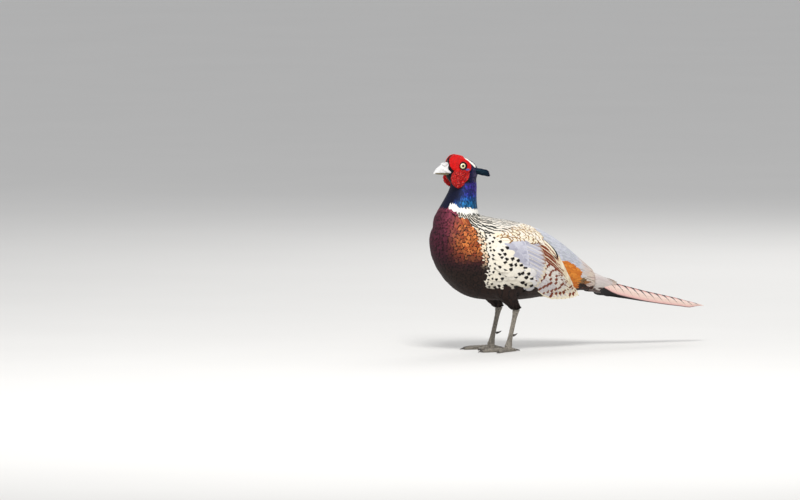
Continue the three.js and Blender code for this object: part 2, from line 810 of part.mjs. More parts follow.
const finishes = {
  face: material("#c01818", 0.55),
  crown: material("#27344f", 0.45, 0.2),
  neck: material("#1c2a6e", 0.35, 0.3),
  breast: material("#5a2032", 0.5, 0.1),
  wing: material("#a9a8b8", 0.65),
  tail: material("#c79a86", 0.65),
  thigh: material("#2b1d18", 0.7),
  horn: material("#e9e6dc", 0.4),
  eye: material("#e8dc9a", 0.15),
  leg: material("#8b8378", 0.6),
  claw: material("#3b342e", 0.45),
};

const bird = new THREE.Group();

function add(name, solid, finish) {
  const mesh = new THREE.Mesh(geometryOf(solid), finish);
  mesh.name = name;
  bird.add(mesh);
}

add("head", headPart(), finishes.crown);
add("neck", neckPart(), finishes.neck);
add("torso", torsoPart(), finishes.breast);
add("bill_upper", upperBillSolid(), finishes.horn);
add("bill_lower", lowerBillSolid(), finishes.horn);
add("tail", tailSolid(), finishes.tail);

for (const [name, side] of [["left", LEFT], ["right", RIGHT]]) {
  add(`eye_${name}`, eyeSolid(side), finishes.eye);
  add(`wattle_${name}`, wattleSolid(side), finishes.face);
  add(`ear_tuft_${name}`, tuftSolid(side), finishes.crown);
  add(`wing_${name}`, wingSolid(side), finishes.wing);
  add(`thigh_${name}`, thighSolid(side), finishes.thigh);
  add(`tarsus_${name}`, tarsusSolid(side), finishes.leg);
  add(`foot_${name}`, footSolid(side), finishes.leg);
  add(`spur_${name}`, spurSolid(side), finishes.claw);
  for (const [toe, size] of Object.entries(TOES)) {
    add(`claw_${toe}_${name}`, clawSolid(side, size), finishes.claw);
  }
}

// The origin is on the floor, under the middle of the bird's box.
const middle = new THREE.Box3().setFromObject(bird).getCenter(new THREE.Vector3());
bird.position.set(-middle.x, -middle.y, 0);

export default bird;
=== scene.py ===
"""A cock ring-necked pheasant, standing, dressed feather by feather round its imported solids."""

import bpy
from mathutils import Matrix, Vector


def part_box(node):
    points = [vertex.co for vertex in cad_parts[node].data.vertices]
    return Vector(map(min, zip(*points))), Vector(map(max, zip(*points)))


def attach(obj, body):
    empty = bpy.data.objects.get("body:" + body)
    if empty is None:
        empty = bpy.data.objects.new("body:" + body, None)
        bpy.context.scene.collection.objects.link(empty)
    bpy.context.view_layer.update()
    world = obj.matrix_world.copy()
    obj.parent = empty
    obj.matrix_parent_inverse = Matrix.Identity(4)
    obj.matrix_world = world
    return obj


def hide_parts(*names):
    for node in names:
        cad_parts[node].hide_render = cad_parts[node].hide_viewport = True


bl_info = {
    "name": "Cock pheasant",
    "version": (1, 0, 0),
    "blender": (4, 5, 0),
    "location": "View3D > Sidebar > Pheasant",
    "description": "Skin, plumage, wattles, eyes, bill and legs of a life-size cock pheasant",
    "category": "Object",
}

import math

import bmesh
import bpy
import numpy as np
from mathutils import Matrix, Vector
from mathutils.bvhtree import BVHTree
from mathutils.kdtree import KDTree

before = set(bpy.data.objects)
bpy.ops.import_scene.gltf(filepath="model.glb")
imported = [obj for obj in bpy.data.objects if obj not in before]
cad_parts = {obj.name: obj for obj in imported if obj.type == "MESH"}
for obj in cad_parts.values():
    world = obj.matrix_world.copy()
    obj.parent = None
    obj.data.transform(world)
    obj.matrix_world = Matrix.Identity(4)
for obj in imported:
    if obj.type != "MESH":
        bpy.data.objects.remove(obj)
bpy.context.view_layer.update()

MM = 0.001
LEFT = -1
RIGHT = 1
SIDES = {"left": LEFT, "right": RIGHT}

# The solids are drawn in millimetres from a point between the feet, and the frame is centred on its box.
TAIL_TIP_X = 381
ORIGIN_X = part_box("tail")[1][0] - TAIL_TIP_X * MM

# The head's own frame: ahead, the bird's left and up, from a point between the eyes.
HEAD_PLACE = Vector((-87, 0, 317))
HEAD_YAW = math.pi - math.radians(8)
HEAD = Matrix.Translation(HEAD_PLACE) @ Matrix.Rotation(HEAD_YAW, 4, "Z")
HEAD_INVERSE = HEAD.inverted()
EYE_SIDE = 14.8
EYE_RADIUS = 7
PUPIL_EDGE = (2.1, 2.35)
IRIS_EDGE = (4.4, 4.7)

# The neck's middle line and the ring round it.
NECK_ROWS = [(188, -86), (212, -91.5), (246, -88.5), (268, -82), (292, -78), (304, -79)]
NECK_FOOT_Z = 234
HEAD_FOOT_Z = 287

# The trunk's sides: place along the body, top, bottom, half width and height of the widest point.
TRUNK_ROWS = [
    (-140, 240, 112, 50, 196),
    (-62, 236, 91, 58, 178),
    (-30, 227, 86.5, 61.5, 169),
    (5, 221, 85, 62.5, 160),
    (45, 211, 87, 60, 152),
    (80, 194.5, 92, 53, 145),
    (115, 170, 97, 42, 134),
    (145, 146, 98, 31, 122),
    (175, 123, 95, 21, 109),
    (205, 110, 90, 12, 100),
]
TRUNK_POWER = 2.2

# The folded wing on the flank: place, low edge, high edge and how far it stands proud.
WING_ROWS = [
    (-54, 166, 178, 1),
    (-40, 141, 198, 4.6),
    (-22, 126, 203, 6.6),
    (-5, 118, 203, 5.6),
    (10, 112, 202, 3),
    (24, 108, 200, 0.8),
]

# The line where flank feathers lie over the wing's lower front edge.
FLANK_EDGE = [(-62, 207), (-44, 194), (-18, 171), (7, 153), (18, 141), (38, 125), (60, 109), (90, 90)]

# Where the streaked mantle meets the copper breast, and where it meets the scalloped scapulars.
MANTLE_JOINT = -60
MANTLE_FRONT = [(-114, 262), (-102, 232), (-80, 217), (MANTLE_JOINT, 205)]
MANTLE_REAR = [(MANTLE_JOINT, 204), (-45, 205), (25, 217), (50, 222)]

# Where the rump begins, and the top of the lavender coverts. Then the top of the rufous patch on the
# rump's side, and where it ends.
RUMP_FRONT = 76
COVERT_TOP = [(-38, 192), (38, 184), (60, 176)]
RUFOUS_TOP = [(80, 154), (104, 147), (130, 133)]
RUFOUS_END = 128

# The photograph's framing: its width in pixels, the size of a pixel, and where the feet stand in it.
PHOTO_WIDTH = 800
PIXEL = 1.7 * MM
PHOTO_YAW = math.radians(-26)
PHOTO_PITCH = math.radians(4)
FEET_RIGHT = 105
FEET_BELOW = 100
CAMERA_DISTANCE = 20
SENSOR = 36

# Half the floor's width, and the height that the lights aim at, in metres.
FLOOR_HALF = 12
LIGHT_TARGET_Z = 0.15


def at(x, y, z):
    """A point of the frame, in metres, from a place in the solids' millimetres."""
    return Vector((ORIGIN_X + x * MM, y * MM, z * MM))


def in_mm(co):
    """A place in the solids' millimetres from a point of the frame."""
    return Vector(((co.x - ORIGIN_X) / MM, co.y / MM, co.z / MM))


def linear(colour):
    """The linear colour of an sRGB hex value."""
    parts = [int(colour[i : i + 2], 16) / 255 for i in (1, 3, 5)]
    return tuple(p / 12.92 if p <= 0.04045 else ((p + 0.055) / 1.055) ** 2.4 for p in parts)


def smooth(low, high, value):
    """0 below low, 1 above high, and a smooth rise between."""
    t = min(1, max(0, (value - low) / (high - low)))
    return t * t * (3 - 2 * t)


def row_values(rows, place):
    """The values of a table at a place, straight between its rows."""
    table = np.array(rows, float)
    return [float(np.interp(place, table[:, 0], table[:, i])) for i in range(1, table.shape[1])]


def line_at(rows, place):
    """The height of a line at a place along it, straight between its points."""
    return float(np.interp(place, *zip(*rows)))


def add_node(tree, kind, inputs=None, **settings):
    """Adds a node with its settings. An input is a number, a colour or a socket to link."""
    made = tree.nodes.new(kind)
    for key, value in settings.items():
        setattr(made, key, value)
    for key, value in (inputs or {}).items():
        if isinstance(value, bpy.types.NodeSocket):
            tree.links.new(value, made.inputs[key])
        else:
            made.inputs[key].default_value = value
    return made


def new_material(name):
    """An empty node material with its output, and its tree."""
    material = bpy.data.materials.new(name)
    material.use_nodes = True
    tree = material.node_tree
    tree.nodes.clear()
    return material, tree


def surface(tree, inputs):
    """A principled surface joined to the material's output."""
    shader = add_node(tree, "ShaderNodeBsdfPrincipled", inputs)
    add_node(tree, "ShaderNodeOutputMaterial", {"Surface": shader.outputs["BSDF"]})
    return shader


def math_node(tree, operation, a, b=0.0, clamp=False):
    """The result of one sum on two values."""
    return add_node(
        tree, "ShaderNodeMath", {0: a, 1: b}, operation=operation, use_clamp=clamp
    ).outputs[0]


def times(tree, a, b, clamp=False):
    """The product of two values."""
    return math_node(tree, "MULTIPLY", a, b, clamp)


def plus(tree, a, b):
    """The sum of two values."""
    return math_node(tree, "ADD", a, b)


def minus(tree, a, b):
    """The difference of two values."""
    return math_node(tree, "SUBTRACT", a, b)


def mixed(tree, factor, a, b):
    """Two colours mixed by a factor."""
    made = add_node(tree, "ShaderNodeMix", {0: factor, 6: a, 7: b}, data_type="RGBA")
    return made.outputs[2]


def ramp_between(tree, value, low, high):
    """A value's smooth rise from 0 at low to 1 at high."""
    return add_node(
        tree,
        "ShaderNodeMapRange",
        {"Value": value, "From Min": low, "From Max": high},
        interpolation_type="SMOOTHSTEP",
    ).outputs["Result"]


def attribute(tree, name, output="Fac"):
    """A value or a colour that the mesh holds at its points."""
    return add_node(tree, "ShaderNodeAttribute", attribute_name=name).outputs[output]


def own_place(tree):
    """The place on the piece, in its own space."""
    return add_node(tree, "ShaderNodeTexCoord").outputs["Object"]


def noise(tree, scale, detail=2.0, place=None):
    """A cloudy pattern over the piece, or over the place given."""
    if place is None:
        place = own_place(tree)
    inputs = {"Vector": place, "Scale": scale, "Detail": detail}
    return add_node(tree, "ShaderNodeTexNoise", inputs).outputs["Fac"]


def relief_of(tree, height, strength, depth):
    """The normals of a relief, with its depth in mm."""
    inputs = {"Height": height, "Strength": strength, "Distance": depth * MM}
    return add_node(tree, "ShaderNodeBump", inputs).outputs[0]


def uneven_shade(tree, colour, cloud, least, spread):
    """A colour made lighter and darker by a cloudy pattern."""
    value = plus(tree, least, times(tree, cloud, spread))
    return add_node(tree, "ShaderNodeHueSaturation", {"Color": colour, "Value": value}).outputs[0]


def new_object(name, data):
    """An object linked to the scene."""
    made = bpy.data.objects.new(name, data)
    bpy.context.scene.collection.objects.link(made)
    return made


def mesh_of(name, source):
    """A mesh made of a bmesh, which is freed."""
    mesh = bpy.data.meshes.new(name)
    source.to_mesh(mesh)
    source.free()
    return mesh


def piece(name, mesh, material, replaced=()):
    """A finished piece of the bird, in place in its mesh."""
    made = new_object(name, mesh)
    mesh.materials.clear()
    mesh.materials.append(material)
    mesh.polygons.foreach_set("use_smooth", [True] * len(mesh.polygons))
    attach(made, "root")
    if replaced:
        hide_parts(*replaced)
    return made


def merged_copy(names):
    """One bmesh of CAD nodes, with their doubled corners merged."""
    joined = bmesh.new()
    for name in names:
        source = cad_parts[name]
        start = len(joined.verts)
        joined.from_mesh(source.data)
        joined.verts.ensure_lookup_table()
        for vertex in joined.verts[start:]:
            vertex.co = source.matrix_world @ vertex.co
    bmesh.ops.remove_doubles(joined, verts=joined.verts, dist=0.02 * MM)
    return joined


def remeshed(source, voxel, rounds, swell=0.0):
    """A closed mesh of even faces round a bmesh, smoothed for some rounds."""
    source.normal_update()
    for vertex in source.verts:
        vertex.co += vertex.normal * swell
    raw = mesh_of("raw", source)
    holder = new_object("raw", raw)
    modifier = holder.modifiers.new("even faces", "REMESH")
    modifier.mode = "VOXEL"
    modifier.voxel_size = voxel
    evaluated = holder.evaluated_get(bpy.context.evaluated_depsgraph_get())
    even = bmesh.new()
    even.from_mesh(evaluated.to_mesh())
    evaluated.to_mesh_clear()
    bpy.data.objects.remove(holder)
    bpy.data.meshes.remove(raw)
    for _ in range(rounds):
        bmesh.ops.smooth_vert(
            even, verts=even.verts, factor=0.5, use_axis_x=True, use_axis_y=True, use_axis_z=True
        )
    even.normal_update()
    return even


def flank_y(x, z):
    """How far the trunk's side stands from the middle plane at a place and height."""
    top, bottom, half, waist = row_values(TRUNK_ROWS, x)
    height = (z - waist) / ((top - waist) if z > waist else (waist - bottom))
    return half * (1 - min(abs(height), 0.84) ** TRUNK_POWER) ** (1 / TRUNK_POWER)


def wing_rise(x, z):
    """How far the folded wing stands proud of the flank at a place and height."""
    if x < WING_ROWS[0][0] or x > 40:
        return 0.0
    low, high, depth = row_values(WING_ROWS, x)
    middle = (low + high) / 2
    share = abs(z - middle) / ((high - low) / 2)
    return depth * (1 - smooth(0.6, 1.1, share)) * smooth(-56, -44, x)


def on_flank(side, x, z, lift):
    """A point off the flank's sheet along its outward normal, and that normal."""
    step = 12
    slope_x = (flank_y(x + step, z) - flank_y(x - step, z)) / (2 * step)
    slope_z = (flank_y(x, z + step) - flank_y(x, z - step)) / (2 * step)
    normal = Vector((-slope_x, side, -slope_z)).normalized()
    return Vector((x, side * flank_y(x, z), z)) + normal * lift, normal


class Coat:
    """Feathers gathered as rows of numbers, and made one mesh at the end."""

    # Places round a vane's section: across, and up from its middle sheet.
    SECTIONS = {
        "small": [(-1, 0), (0, 1), (1, 0), (0, -0.6)],
        "long": [
            (-1, 0),
            (-0.55, 0.8),
            (-0.05, 0.7),
            (0, 1.6),
            (0.05, 0.7),
            (0.55, 0.8),
            (1, 0),
            (0, -0.8),
        ],
    }

    # How far a vane's rims droop, as a share of its half width.
    SAG = 0.16

    def __init__(self, kind, stations):
        self.section = np.array(self.SECTIONS[kind], float)
        self.shares = np.linspace(0, 1, stations + 2)[1:-1] ** 0.9
        self.steps = [0.0, *self.shares, 1.0]
        self.lines, self.across, self.up = [], [], []
        self.half, self.thick, self.looks, self.bake = [], [], [], []

    def add(self, line, across, up, half, thick, look, bake):
        """One feather: its middle line in mm with a root and a tip, frames, widths, look and bake patch.

        The line has a point at every step. The rest has a value at every share, so none at root and tip.
        """
        self.lines.append(line)
        self.across.append(across)
        self.up.append(up)
        self.half.append(half)
        self.thick.append(thick)
        self.looks.append(look)
        self.bake.append(bake)

    def mesh(self, name):
        """The feathers as one mesh with their colours, the vane map and the bake map."""
        lines = np.array(self.lines, float)
        across = np.array(self.across, float)
        up = np.array(self.up, float)
        half = np.array(self.half, float)
        thick = np.array(self.thick, float)
        count, stations = half.shape
        around = len(self.section)
        rings = lines[:, 1:-1, None, :] + across[:, :, None, :] * (
            half[:, :, None, None] * self.section[None, None, :, 0, None]
        )
        sag = (half[:, :, None] * self.section[None, None, :, 0] ** 2)[..., None] * self.SAG
        raised = thick[:, :, None, None] * self.section[None, None, :, 1, None]
        rings = rings + up[:, :, None, :] * (raised - sag)
        points = np.concatenate(
            [lines[:, :1], rings.reshape(count, stations * around, 3), lines[:, -1:]], axis=1
        )
        per_vane = points.shape[1]
        points = points.reshape(-1, 3) * MM
        points[:, 0] += ORIGIN_X

        ring = np.arange(stations - 1)[:, None] * around + 1
        here = np.arange(around)[None, :]
        ahead = (here + 1) % around
        quads = np.stack([ring + here, ring + around + here, ring + around + ahead, ring + ahead], -1)
        quads = quads.reshape(-1, 4)
        root_fan = np.stack([np.zeros(around, int), 1 + here[0], 1 + ahead[0]], -1)
        last = 1 + (stations - 1) * around
        tip_fan = np.stack([np.full(around, per_vane - 1), last + ahead[0], last + here[0]], -1)
        one_vane = np.concatenate([quads.ravel(), root_fan.ravel(), tip_fan.ravel()])
        sizes = np.concatenate([np.full(len(quads), 4), np.full(2 * around, 3)])
        loops = (np.arange(count)[:, None] * per_vane + one_vane[None, :]).ravel()
        totals = np.tile(sizes, count)
        starts = np.concatenate([[0], np.cumsum(totals)[:-1]])

        mesh = bpy.data.meshes.new(name)
        mesh.vertices.add(len(points))
        mesh.vertices.foreach_set("co", points.ravel())
        mesh.loops.add(len(loops))
        mesh.loops.foreach_set("vertex_index", loops)
        mesh.polygons.add(len(totals))
        mesh.polygons.foreach_set("loop_start", starts)
        mesh.update(calc_edges=True)

        along = np.concatenate([[0], np.repeat(self.shares, around), [1]])
        sideways = np.concatenate([[0.5], np.tile(self.section[:, 0] * 0.5 + 0.5, stations), [0.5]])
        vane = np.stack([sideways[one_vane], along[one_vane]], -1)
        vane_map = mesh.uv_layers.new(name="vane")
        vane_map.data.foreach_set("uv", np.tile(vane, (count, 1)).ravel())

        quad_round = np.stack([here, here, here + 1, here + 1], -1)
        round_quads = np.broadcast_to(quad_round, (stations - 1, around, 4)).reshape(-1)
        fan_round = np.stack([here[0] + 0.5, here[0], here[0] + 1], -1).ravel()
        tip_round = np.stack([here[0] + 0.5, here[0] + 1, here[0]], -1).ravel()
        turn = np.concatenate([round_quads, fan_round, tip_round]) / around
        patch = np.stack([turn, along[one_vane]], -1)
        corner = np.array(self.bake, float)
        places = corner[:, None, :2] + patch[None, :, :] * corner[:, None, 2:]
        bake_map = mesh.uv_layers.new(name="OFBake")
        bake_map.data.foreach_set("uv", places.ravel())

        ends = np.empty(len(mesh.edges) * 2, dtype=np.int32)
        mesh.edges.foreach_get("vertices", ends)
        local = (ends % per_vane).reshape(-1, 2)
        column = (local - 1) % around
        right_column = int(np.argmax(self.section[:, 0]))
        inside = (local > 0) & (local < per_vane - 1)
        margin = ((column == 0) | ~inside).all(1) | ((column == right_column) | ~inside).all(1)
        sharp = mesh.attributes.new("sharp_edge", "BOOLEAN", "EDGE")
        sharp.data.foreach_set("value", margin)

        looks = np.array(self.looks, float)
        for i, key in enumerate(("feather_base", "feather_edge", "feather_mark", "feather_kind")):
            colour = mesh.color_attributes.new(key, "FLOAT_COLOR", "POINT")
            values = np.repeat(looks[:, i * 4 : i * 4 + 4], per_vane, axis=0)
            colour.data.foreach_set("color", values.ravel())
        return mesh


# The place of the tip spot's size in a feather's look.
SPOT = 11

# A look holds the number of a feather's bars as a share of this.
MOST_BARS = 40.0

# How sharply a feather's rim and tip spot end, and the depth of its barbs' relief in mm.
MARK_SHARPNESS = 9.0
BARB_DEPTH = 0.12


def look_of(base, edge, mark, gloss=0.0, rim=0.0, spot=0.0, streak=0.0, bars=0.0):
    """A feather's look: three colours, gloss, rim width, size of the tip spot, streak and bars."""
    return [*base, gloss, *edge, rim, *mark, spot, streak, bars, 0, 1]


def plain(colour, amount=1.0):
    """A linear colour made lighter or darker."""
    return tuple(c * amount for c in colour)


def opaque(colour, amount=1.0):
    """A linear colour made lighter or darker, with full alpha, as a node takes it."""
    return (*plain(colour, amount), 1)


def blended(a, b, t):
    """A colour between two linear colours."""
    return tuple(x + (y - x) * t for x, y in zip(a, b))


COLOURS = {
    name: linear(value)
    for name, value in {
        "crown": "#4d4a3a",
        "face_black": "#08080e",
        "stripe_white": "#efece2",
        "violet": "#452c98",
        "navy": "#080c28",
        "blue": "#1e3a96",
        "teal": "#1c6592",
        "ring_white": "#ebe8e0",
        "maroon": "#461727",
        "pink_maroon": "#84364a",
        "deep_maroon": "#2c0f1a",
        "copper": "#94431f",
        "copper_light": "#cb763a",
        "black": "#120d0c",
        "brown_black": "#251712",
        "cream": "#eadfc4",
        "white": "#e9e3d7",
        "gold": "#b8863c",
        "brown": "#5b3d27",
        "green_black": "#1b2a22",
        "lavender": "#a5a4b3",
        "lavender_light": "#c8c7d0",
        "rump_grey": "#c5c7ce",
        "rump_green": "#b0b7b4",
        "rufous": "#c2641c",
        "rufous_light": "#dd8a34",
        "buff": "#cec0b0",
        "pink_buff": "#c8b1a6",
        "olive": "#6f6144",
        "chestnut": "#7a3a22",
        "tail_pink": "#d29b97",
        "tail_buff": "#dcc0b2",
        "nape_sheen_grey": "#4d4560",
        "stripe_dark": "#1a1230",
        "ear_green": "#0b2c38",
    }.items()
}


def head_look(place, rng):
    """A head feather's look, size and spacing from its place in the head's frame."""
    f, side, z = place
    c = COLOURS
    base, edge, gloss = c["face_black"], c["navy"], 0.4
    if z > 7 and f < 15:
        base, edge, gloss = c["crown"], blended(c["crown"], c["green_black"], 0.5), 0.3
    if f < -12 and z < 6:
        # Towards the nape some feathers are painted purple grey, a painted sheen on their dark gloss.
        rear = blended(c["navy"], c["nape_sheen_grey"], smooth(-14, -24, f) * rng.random())
        base, edge, gloss = rear, blended(c["navy"], c["violet"], 0.6), 0.55
    if f < 0 and abs(side) > 2.5:
        off = z - (16.4 + 0.86 * (f + 3.5))
        if abs(off) < 2.5 and f > -26:
            base, edge, gloss = c["stripe_white"], c["stripe_white"], 0.0
        elif -5.4 < off <= -2.5:
            base, edge, gloss = c["stripe_dark"], c["face_black"], 0.3
    return look_of(base, edge, c["face_black"], gloss, 0.2), (4.6, 1.6, 1.55)


def ring_edges(turn):
    """The white ring's low and high edges at a turn round the neck."""
    low = 243.5 - 9 * smooth(33, 85, turn)
    high = 252.5 - 8.5 * smooth(33, 85, turn) - 3.5 * smooth(90, 180, turn)
    return low, high


def neck_look(point, angle, rng):
    """A neck feather's look, size and spacing. The angle is 0 ahead and 180 at the nape."""
    c = COLOURS
    z = point[2]
    turn = abs(angle)
    low, high = ring_edges(turn)
    if turn > 31 and z < high:
        return look_of(c["ring_white"], c["ring_white"], c["ring_white"]), (7, 3.0, 2.6)
    ahead = smooth(95, 40, turn) * (1 - 0.85 * smooth(264, 252, z) * smooth(34, 50, turn))
    base = blended(c["blue"], c["violet"], smooth(256, 276, z) * smooth(50, 110, turn))
    base = blended(base, c["teal"], smooth(268, 250, z) * smooth(30, 80, turn) * 0.9)
    base = blended(base, c["navy"], 0.85 * ahead)
    glint = rng.random() ** 3 * (1 - ahead)
    base = plain(base, 0.3 + 1.3 * glint)
    edge = blended(base, c["teal"], 0.3 * (1 - ahead))
    gloss = (0.45 + 0.3 * glint) * (1 - 0.55 * ahead)
    return look_of(base, edge, c["navy"], gloss, 0.3), (7.5, 2.7, 2.3)


def breast_look(x, side, z, rng):
    """A breast feather's look: maroon, copper at the side and nearly black below, each with a dark rim."""
    c = COLOURS
    copper = smooth(12, 44, side) * smooth(146, 180, z) * smooth(-128, -96, x)
    # The upper front turns pink maroon: partly the breast's own colour, partly a painted highlight of its
    # sheen.
    rosy = smooth(176, 222, z) * smooth(-134, -110, x)
    base = blended(c["maroon"], c["deep_maroon"], smooth(190, 150, z) * 0.8)
    base = blended(base, c["brown_black"], smooth(165, 130, z))
    base = blended(base, c["pink_maroon"], 0.85 * rosy * (0.5 + rng.random()))
    gold = blended(c["copper"], c["copper_light"], rng.random() ** 1.5)
    base = blended(base, gold, copper * smooth(238, 214, z))
    base = plain(base, 0.75 + 0.5 * rng.random())
    edge = plain(base, 0.18)
    if copper > 0.4:
        edge = c["black"]
    return look_of(base, edge, c["black"], 0.12, 0.3, 0.1 + 0.12 * copper, 0.1 * copper)


def trunk_look(point, normal, rng):
    """A trunk feather's look, size and spacing from its place in mm."""
    x, y, z = point
    c = COLOURS
    side = abs(y)
    edge_z = line_at(FLANK_EDGE, x)
    mantle_z = line_at(MANTLE_FRONT if x < MANTLE_JOINT else MANTLE_REAR, x)
    dark_z = 110 if x < 20 else 98 if x < RUMP_FRONT else 88
    below = -0.6 if x < RUMP_FRONT else -0.88
    if (z < dark_z or (z < 126 and normal[2] < below)) and -60 < x < 140:
        return look_of(c["brown_black"], c["black"], c["black"], 0.05, 0.2), (20, 7, 6.4)
    if x > RUFOUS_END:
        if z < 96 or normal[2] < -0.6:
            return look_of(c["brown_black"], c["chestnut"], c["black"], 0.05, 0.1), (24, 5.6, 5.6)
        if x < 148 and z < 118:
            tone = blended(c["olive"], c["rufous"], 0.5 * rng.random())
            return look_of(tone, c["brown"], c["black"], 0.15, 0.2), (28, 5.2, 5.6)
        warm = blended(c["buff"], c["pink_buff"], rng.random())
        tone = blended(c["rump_grey"], warm, smooth(118, 168, x + 12 * rng.random()))
        streaked = 0.12 if rng.random() < 0.3 else 0.0
        edge = blended(tone, c["buff"], 0.6)
        return look_of(tone, edge, c["brown"], 0.08, 0.2, 0, streaked), (34, 5.2, 5.4)
    if x > RUMP_FRONT or (x > 48 and z > 178 + 6 * rng.random()) or (x > 60 and z > 150):
        if x > RUMP_FRONT and z < line_at(RUFOUS_TOP, x) + 5 * (rng.random() - 0.5):
            base = blended(c["rufous"], c["rufous_light"], rng.random())
            return look_of(base, plain(base, 0.75), c["brown"], 0.05, 0.2), (24, 4.4, 4.6)
        base = blended(c["rump_grey"], c["rump_green"], 0.5 * rng.random())
        base = plain(base, 0.8 + 0.3 * rng.random())
        edge = blended(base, c["lavender_light"], 0.8)
        return look_of(base, edge, c["lavender"], 0.15, 0.3, 0, 0.14), (25, 5.2, 5.4)
    if z > mantle_z - 2 and x < 45:
        speck = blended(c["black"], c["green_black"], rng.random())
        size = (15, 4.2, 4.7) if x < -50 else (17, 4.8, 5.1)
        pale = blended(c["white"], c["gold"], 0.18 * rng.random())
        return look_of(pale, pale, speck, 0.1, 0.0, 0.3, 0.42 if x < -40 else 0.26), size
    if x < -66 - 8 * smooth(150, 200, z):
        return breast_look(x, side, z, rng), (14, 4.6, 4.1)
    if x < -56 - 8 * smooth(150, 200, z):
        pearl = blended(c["cream"], c["copper_light"], 0.5 * rng.random())
        pearl = blended(pearl, c["brown_black"], smooth(160, 140, z))
        return look_of(pearl, c["black"], c["black"], 0.0, 0.42), (12, 3.8, 3.8)
    if z < edge_z:
        dusk = 0.6 * smooth(120, 104, z)
        warm = blended(blended(c["white"], c["cream"], 0.5 * rng.random()), c["brown_black"], dusk)
        if x > 24:
            warm = blended(warm, c["lavender_light"], 0.5)
            spot = 0.3 * (rng.random() < 0.5)
            return look_of(warm, plain(warm, 0.8), c["chestnut"], 0.05, 0.1, spot), (24, 6, 7)
        grown = smooth(-66, -26, x)
        size = (13 + 10 * grown, 4.3 + 3.5 * grown, 4.5 + 3.9 * grown)
        return look_of(warm, plain(warm, 0.92), c["black"], 0.03, 0.05, 0.62), size
    covert_z = line_at(COVERT_TOP, x)
    if z > covert_z:
        rim = blended(c["gold"], c["brown"], 0.2 + 0.7 * rng.random())
        middle = blended(c["white"], c["cream"], rng.random())
        return look_of(middle, rim, c["gold"], 0.03, 0.32, 0.0, 0.08), (15, 5.0, 5.2)
    tone = blended(c["lavender"], c["lavender_light"], rng.random())
    return look_of(tone, blended(tone, c["lavender_light"], 0.6), c["brown"], 0.12, 0.2), (22, 7.4, 7)


def plumage_look(place, normal, rng):
    """The region, look and size of a feather that shows at a place."""
    if place.z > HEAD_FOOT_Z:
        return "head", *head_look(HEAD_INVERSE @ place, rng)
    angle = neck_angle(place)
    if place.z > ring_edges(abs(angle))[0] and place.x < -45:
        return "neck", *neck_look(place, angle, rng)
    return ("thigh" if place.z < 84 else "trunk"), *trunk_look(place, normal, rng)


# How far flank and scapular feathers are lifted where they lie over the wing.
OVER_WING_LIFT = 4.2


def over_wing(point):
    """The lift of a flank or scapular feather over the wing's feathers at a place."""
    x, y, z = point
    if abs(y) < 20 or x < -50 or x > 95:
        return 0.0
    edge_z = line_at(FLANK_EDGE, x)
    covert_z = line_at(COVERT_TOP, x)
    flank = smooth(edge_z - 46, edge_z - 24, z) * smooth(edge_z + 12, edge_z, z) * smooth(46, 22, x)
    scapular = smooth(covert_z - 8, covert_z, z) * smooth(covert_z + 26, covert_z + 10, z)
    scapular *= smooth(62, 40, x)
    return max(flank, scapular) * OVER_WING_LIFT * smooth(-50, -34, x)


def flow_at(point, local):
    """The way feathers lie at a place: back over the head, down the neck and back along the body."""
    x, y, z = point
    back = HEAD.to_3x3() @ Vector((-1, 0, -0.45 - 0.9 * smooth(2, -24, local.z)))
    down = Vector((0.12, 0, -1))
    breast = Vector((0.5, 0.25 * math.copysign(min(1, abs(y) / 20), y), -0.85))
    body = Vector((1, 0, -0.22))
    flow = back.lerp(down, smooth(298, 282, z)) if z > 282 else down.lerp(breast, smooth(240, 222, z))
    if z < 240:
        flow = flow.lerp(body, smooth(-110, -45, x))
    if z < 112 and abs(y) > 12 and -45 < x < 50:
        flow = Vector((0.35, 0, -1))
    return flow


def neck_angle(point):
    """The turn round the neck's middle line, in degrees: 0 ahead and 180 at the nape."""
    centre = line_at(NECK_ROWS, point[2])
    return math.degrees(math.atan2(point[1], -(point[0] - centre)))


# The bake map's margin, and the width of one contour feather's patch in it.
BAKE_MARGIN = 0.03
BAKE_PATCH = 0.003


def bake_place(region, point, local):
    """The place of a root on an unwrap of its region of the skin, inside the map's margin."""
    if region == "head":
        turn = math.atan2(local.y, local.z + 8)
        along = (local.x + 40) / 66
    elif region == "neck":
        turn = math.radians(neck_angle(point))
        along = (point[2] - 220) / 90
    else:
        waist = row_values(TRUNK_ROWS, max(-140, min(205, point[0])))[3]
        turn = math.atan2(point[1], point[2] - waist)
        along = (point[0] + 150) / 360
    inside = 1 - 2 * BAKE_MARGIN
    return BAKE_MARGIN + inside * (turn / (2 * math.pi) + 0.5), BAKE_MARGIN + inside * min(1, max(0, along))


def vane_width(t, fullest=0.5, root=0.6):
    """The half width of a contour feather along its length, with a round tip."""
    if t < fullest:
        return root + (1 - root) * math.sin(math.pi / 2 * t / fullest)
    return math.sqrt(max(0.0, 1 - ((t - fullest) / (1 - fullest)) ** 2))


# The nodes that the skin and its contour feathers take the place of.
FEATHERED = ["head", "neck", "torso", "thigh_left", "thigh_right"]


def outer_plumage():
    """The outside of head, neck, trunk and thighs as one smooth closed surface."""
    return remeshed(merged_copy(FEATHERED), 2 * MM, 6, swell=0.3 * MM)


def coat_depth(z):
    """How deep the plumage is at a height: thin on the head, deep on the body."""
    return (1.0 + 1.2 * smooth(300, 280, z) + 1.8 * smooth(250, 225, z)) * MM


# How far from its root a body feather typically begins to show.
FEATHER_REACH = 10

# How many roots are tried, how much closer they fall on head and neck, and the search cells' size in mm.
ROOT_TRIES = 130000
HEAD_DENSITY = 11
NECK_DENSITY = 5
SEARCH_CELL = 2.0


